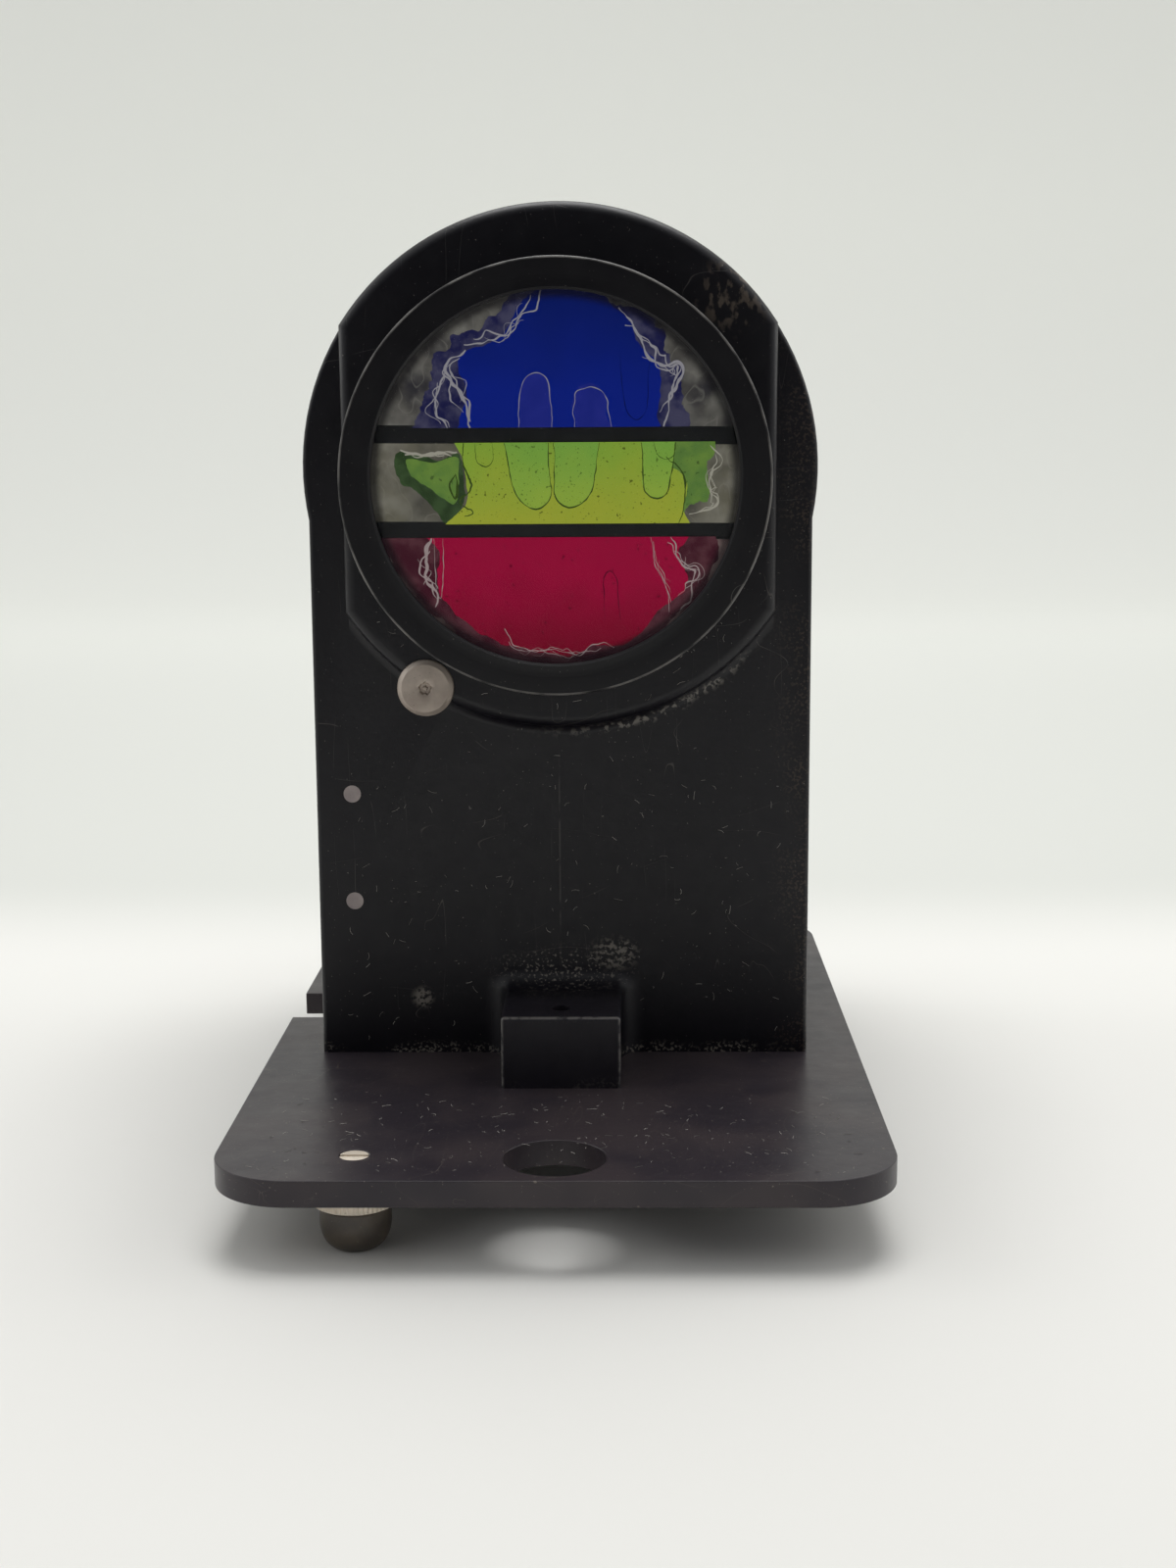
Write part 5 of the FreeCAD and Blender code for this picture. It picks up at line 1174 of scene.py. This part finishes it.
@dataclass
class Lint:
    """Fine pale fibres that lie on the front face and the plate."""

    seed: int = 7
    thickness: float = 0.03

    def build(self) -> None:
        """Make the fibres of both surfaces."""
        plate, housing = (Vector(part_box(node)[1]) / MM for node in ("base_plate", "housing"))
        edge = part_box("base_plate")[0][1] / MM
        material = PlainMoulding("cotton_lint", "#b9b5ae", "#8f8b85", 0.8).build()
        low = np.array([-36.0, -17.15, plate.z + 3.0])
        self.scatter("lint_on_housing", 130, low, np.array([38.0, -17.15, 66.0]), material)
        boss = -22.65
        self.scatter("lint_on_boss", 70, np.array([-34.0, boss, 70.5]), np.array([34.0, boss, 90.0]),
                     material, (0.0, 112.1, 40.8))
        low = np.array([-44.0, edge + 3.0, plate.z + 0.05])
        self.scatter("lint_on_plate", 230, low, np.array([44.0, -40.0, plate.z + 0.05]), material)

    def scatter(self, name: str, count: int, low: np.ndarray, high: np.ndarray,
                material: bpy.types.Material, disc: tuple[float, float,
                                                                     float] | None = None) -> None:
        """Lay arcs of fibre at random over a flat rectangle, three-sided and closed at both ends.

        Args:
            name: The piece's name.
            count: How many fibres.
            low: One corner of the rectangle.
            high: The opposite corner; one coordinate is the same in both.
            material: Their finish.
            disc: Centre across and up and the radius of a disc that they keep within.
        """
        chance = np.random.default_rng(self.seed + count)
        flat = int(np.argmin(high - low))
        first, second = (axis for axis in range(3) if axis != flat)
        start = chance.uniform(low, high, (count, 3))
        if disc is not None:
            start = start[np.hypot(start[:, 0] - disc[0], start[:, 2] - disc[1]) < disc[2]]
            count = len(start)
        bend = chance.uniform(-1.6, 1.6, (count, 1))
        heading = chance.uniform(0, 2 * math.pi, (count, 1)) + bend * np.linspace(0, 1, 7)
        length = chance.uniform(0.2, 1.2, (count, 1)) ** 1.5 * 1.4 / 7
        path = np.repeat(start[:, None, :], 7, axis=1)
        path[:, :, first] += np.cumsum(np.cos(heading) * length, axis=1)
        path[:, :, second] += np.cumsum(np.sin(heading) * length, axis=1)
        turn = np.linspace(0, 2 * math.pi, 3, endpoint=False)
        ring = np.zeros((count, 7, 3, 3))
        ring[..., first] = -np.sin(heading)[:, :, None] * np.cos(turn)
        ring[..., second] = np.cos(heading)[:, :, None] * np.cos(turn)
        ring[..., flat] = np.sin(turn)
        points = (path[:, :, None, :] + ring * self.thickness).reshape(-1, 3)
        pattern = grid_faces(7, 3) + [(0, 1, 2), (18, 19, 20)]
        faces = [tuple(21 * fibre + corner for corner in face) for fibre in range(count) for face in pattern]
        item = mesh_object(name, points * MM, faces)
        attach(item, "frame")
        dress(item, material)


@dataclass
class Inside:
    """What the housing holds behind the lens."""

    def build(self) -> None:
        """Dress the lamps, board, wires and terminals."""
        nodes = frame["nodes"]
        board = PlainMoulding("brown_phenolic_board", "#4a2c1b", "#5f3a22", 0.5).build()
        brass = DulledMetal("dull_brass", "#b59a5c", "#8f7440", "#5d4a2b").build()
        steel = DulledMetal("plated_steel", "#8b8782", "#6f6b67").build()
        black = PlainMoulding("black_lacquer", "#121212", "#1d1c1b", 0.6).build()
        bulb = ClearGlass("bulb_glass", "#fbf6ea").build()
        for node in ("lamp_board", "terminal_block"):
            dress(nodes[node], board)
        for side in ("upper", "middle", "lower"):
            dress(nodes[f"{side}_lamp_holder"], board)
            dress(nodes[f"{side}_bulb_cap"], brass)
            dress(nodes[f"{side}_bulb"], bulb)
        for node in ("common_strip", "board_screws", "terminal_screws"):
            dress(nodes[node], brass)
        for node in ("terminal_bracket", "keeper_pin_nut", "housing_screws"):
            dress(nodes[node], steel)
        dress(nodes["light_baffle"], black)
        for node, ground, mottle in (("red_lamp_wire", "#7e1f1b", "#933029"),
                                     ("common_wire", "#161616", "#242322"),
                                     ("green_lamp_wire", "#23592c", "#2f6a36"),
                                     ("blue_lamp_wire", "#1c346e", "#27437f")):
            dress(nodes[node], PlainMoulding(node + "_covering", ground, mottle, 0.55).build())


def rounded_bar(name: str, centre: Vector, half: tuple[float, float, float],
                power: float = 0.3) -> bpy.types.Object:
    """A bar with rounded edges: across, deep and high as its half sizes, in millimetres."""
    rise = np.linspace(-math.pi / 2, math.pi / 2, 26)[:, None]
    turn = np.linspace(0, 2 * math.pi, 48, endpoint=False)[None, :]

    def rounded(value: np.ndarray) -> np.ndarray:
        """Raise to the power with the sign kept."""
        return np.sign(value) * np.abs(value) ** power

    across = half[0] * rounded(np.cos(rise)) * rounded(np.cos(turn))
    deep = half[1] * rounded(np.cos(rise)) * rounded(np.sin(turn))
    high = half[2] * rounded(np.sin(rise)) * np.ones_like(turn)
    points = (np.stack([across, deep, high], axis=-1).reshape(-1, 3) + np.array(centre)) * MM
    return mesh_object(name, points, grid_faces(26, 48))


@dataclass
class Rear:
    """Rear cover, its hinge and its latch."""

    knob_gap: float = 0.15
    knob_round: float = 2.6
    shaft: float = 2.5
    grip_width: float = 3.2

    def build(self) -> None:
        """Dress the cover, hinge and latch."""
        nodes = frame["nodes"]
        cover = MouldedPhenolic("pressed_phenolic_cover").build()
        dress(refined("rear_cover"), cover)
        self.knob(PlainMoulding("polished_phenolic", "#101012", "#1b1a1d", 0.28).build())
        steel = DulledMetal("hinge_plating", "#8d8984", "#726e69", roughness=0.34).build()
        for node in ("hinge_housing_leaf", "hinge_cover_leaf"):
            dress(refined(node, 0.12), steel)
        for node in ("hinge_pin", "housing_leaf_screws", "cover_leaf_screws", "latch_washer", "latch_cam"):
            dress(nodes[node], steel)


    def knob(self, material: bpy.types.Material) -> None:
        """Latch knob: a turned round on its shaft with a finger grip across it.

        The grip is a rounded bar: each axis is the cosine or sine of its angle raised to a small power, with
        its sign kept, times half the bar's size.

        Args:
            material: Its finish.
        """
        low, high = (Vector(corner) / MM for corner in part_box("latch_knob"))
        centre = middle("latch_knob")
        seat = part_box("rear_cover")[1][1] / MM + self.knob_gap
        radius, top = (high.x - low.x) / 2, seat + self.knob_round
        rows = np.vstack([
            [[low.y, 0.0], [low.y, self.shaft], [seat, self.shaft], [seat, radius - 0.2],
             [seat + 0.2, radius]],
            arc_profile((top - 0.6, radius - 0.6), 0.6, 90, 0, 6), [[top, 0.0]],
        ])
        base = turned("latch_knob_turned", Vector((centre.x, 0, centre.z)), "Y", rows, 96)
        grip = rounded_bar("latch_knob_grip", Vector((centre.x / MM, (top - 0.5 + high.y) / 2,
                                                      centre.z / MM)),
                           (self.grip_width / 2, (high.y - top + 0.5) / 2, radius - 0.65))
        settle(base, "latch_knob", material)
        settle(grip, "latch_knob", material)


@dataclass
class Studio:
    """Pale floor, soft light and the camera."""

    lens: float = 46.96
    place: tuple[float, float, float] = (10.05, -353.9, 116.5)
    right: tuple[float, float, float] = (0.99985, 0.01607, -0.00610)
    down: tuple[float, float, float] = (-0.00336, -0.16537, -0.98624)
    ahead: tuple[float, float, float] = (-0.01686, 0.98610, -0.16522)
    table: str = "#e4e3df"
    backdrop: str = "#d2d3ce"
    shade: str = "#8a8a8d"
    wash: float = 0.57
    surround: float = 0.66
    overhead: float = 4.1
    sides: float = 0.9

    def build(self) -> None:
        """Set the camera, the floor and the lights."""
        self.camera()
        self.floor()
        self.lights()

    def camera(self) -> None:
        """Camera at the lamp's front, a little above it and looking slightly down."""
        data = bpy.data.cameras.new("camera")
        data.lens, data.sensor_width = self.lens, 36.0
        data.clip_start, data.clip_end = 0.01, 20.0
        item = bpy.data.objects.new("camera", data)
        bpy.context.scene.collection.objects.link(item)
        right = Vector(self.right)
        back = -Vector(self.ahead)
        up = back.cross(right)
        turn = Matrix((right, up, back)).transposed().to_4x4()
        item.matrix_world = Matrix.Translation(Vector(self.place) * MM) @ turn
        bpy.context.scene.camera = item

    def floor(self) -> None:
        """Pale table that curves up into a lit backdrop a long way behind and falls into shade in front."""
        turn = np.radians(np.linspace(0, 90, 14))
        bend = np.stack([1.1 + 0.3 * np.sin(turn), 0.3 - 0.3 * np.cos(turn)], axis=-1)
        run = np.vstack([[[-8.0, 0.0]], bend, [[1.4, 5.0]]])
        points = np.array([[x, y, z - 0.00002] for y, z in run for x in (-8.0, 8.0)])
        item = mesh_object("table_and_backdrop", points, grid_faces(len(run), 2, wrap_columns=False))
        make = Sheet("pale_paper")
        near = make.blend(make.cloud(60.0), self.table, self.table)
        colour = make.blend(make.rise(make.axes[1], 95.0, 190.0), near, self.backdrop)
        colour = make.blend(make.rise(make.ahead(), 240.0, 800.0), colour, self.shade)
        glow = make.sum("MULTIPLY", make.rise(make.axes[1], 150.0, 1000.0), self.wash)
        item.data.materials.append(make.feed(Base_Color=colour, Roughness=0.9, Specular_IOR_Level=0.0,
                                             Emission_Color=linear(self.backdrop), Emission_Strength=glow))

    def lights(self) -> None:
        """A bright surround that darkens only straight in front, and soft lights over the table."""
        world = bpy.data.worlds.new("surround")
        bpy.context.scene.world = world
        world.use_nodes = True
        tree = world.node_tree
        ahead = add(tree, "SeparateXYZ", {0: add(tree, "TexCoord").outputs["Generated"]}).outputs
        share = add(tree, "MapRange", {"Value": ahead[1], "From Min": -0.93, "From Max": -0.5},
                    interpolation_type="SMOOTHSTEP").outputs[0]
        tone = add(tree, "Mix", {0: share, 6: linear("#48484c"), 7: linear("#f1f2f3")},
                   data_type="RGBA").outputs[2]
        ground = tree.nodes["Background"]
        tree.links.new(tone, ground.inputs[0])
        ground.inputs[1].default_value = self.surround
        for name, place, size, power in (
            ("overhead", (0.03, 0.14, 0.75), 0.55, self.overhead),
            ("left_side", (-0.7, 0.15, 0.45), 0.5, self.sides),
            ("right_side", (0.75, 0.2, 0.45), 0.5, self.sides),
        ):
            data = bpy.data.lights.new(name, "AREA")
            data.energy, data.size = power, size
            item = bpy.data.objects.new(name, data)
            bpy.context.scene.collection.objects.link(item)
            towards = Vector((0, 0.0, 0.05)) - Vector(place)
            item.rotation_mode = "QUATERNION"
            item.rotation_quaternion = towards.to_track_quat("-Z", "Y")
            item.location = place
        bpy.context.scene.view_settings.view_transform = "Standard"


def main() -> None:
    """Build every sub-assembly."""
    for part in (Studio(), Body(), Lens(), Hardware(), Lint(), Inside(), Rear()):
        LOG.info("building %s", type(part).__name__)
        part.build()
    bpy.context.view_layer.update()


if __name__ == "__main__":
    main()
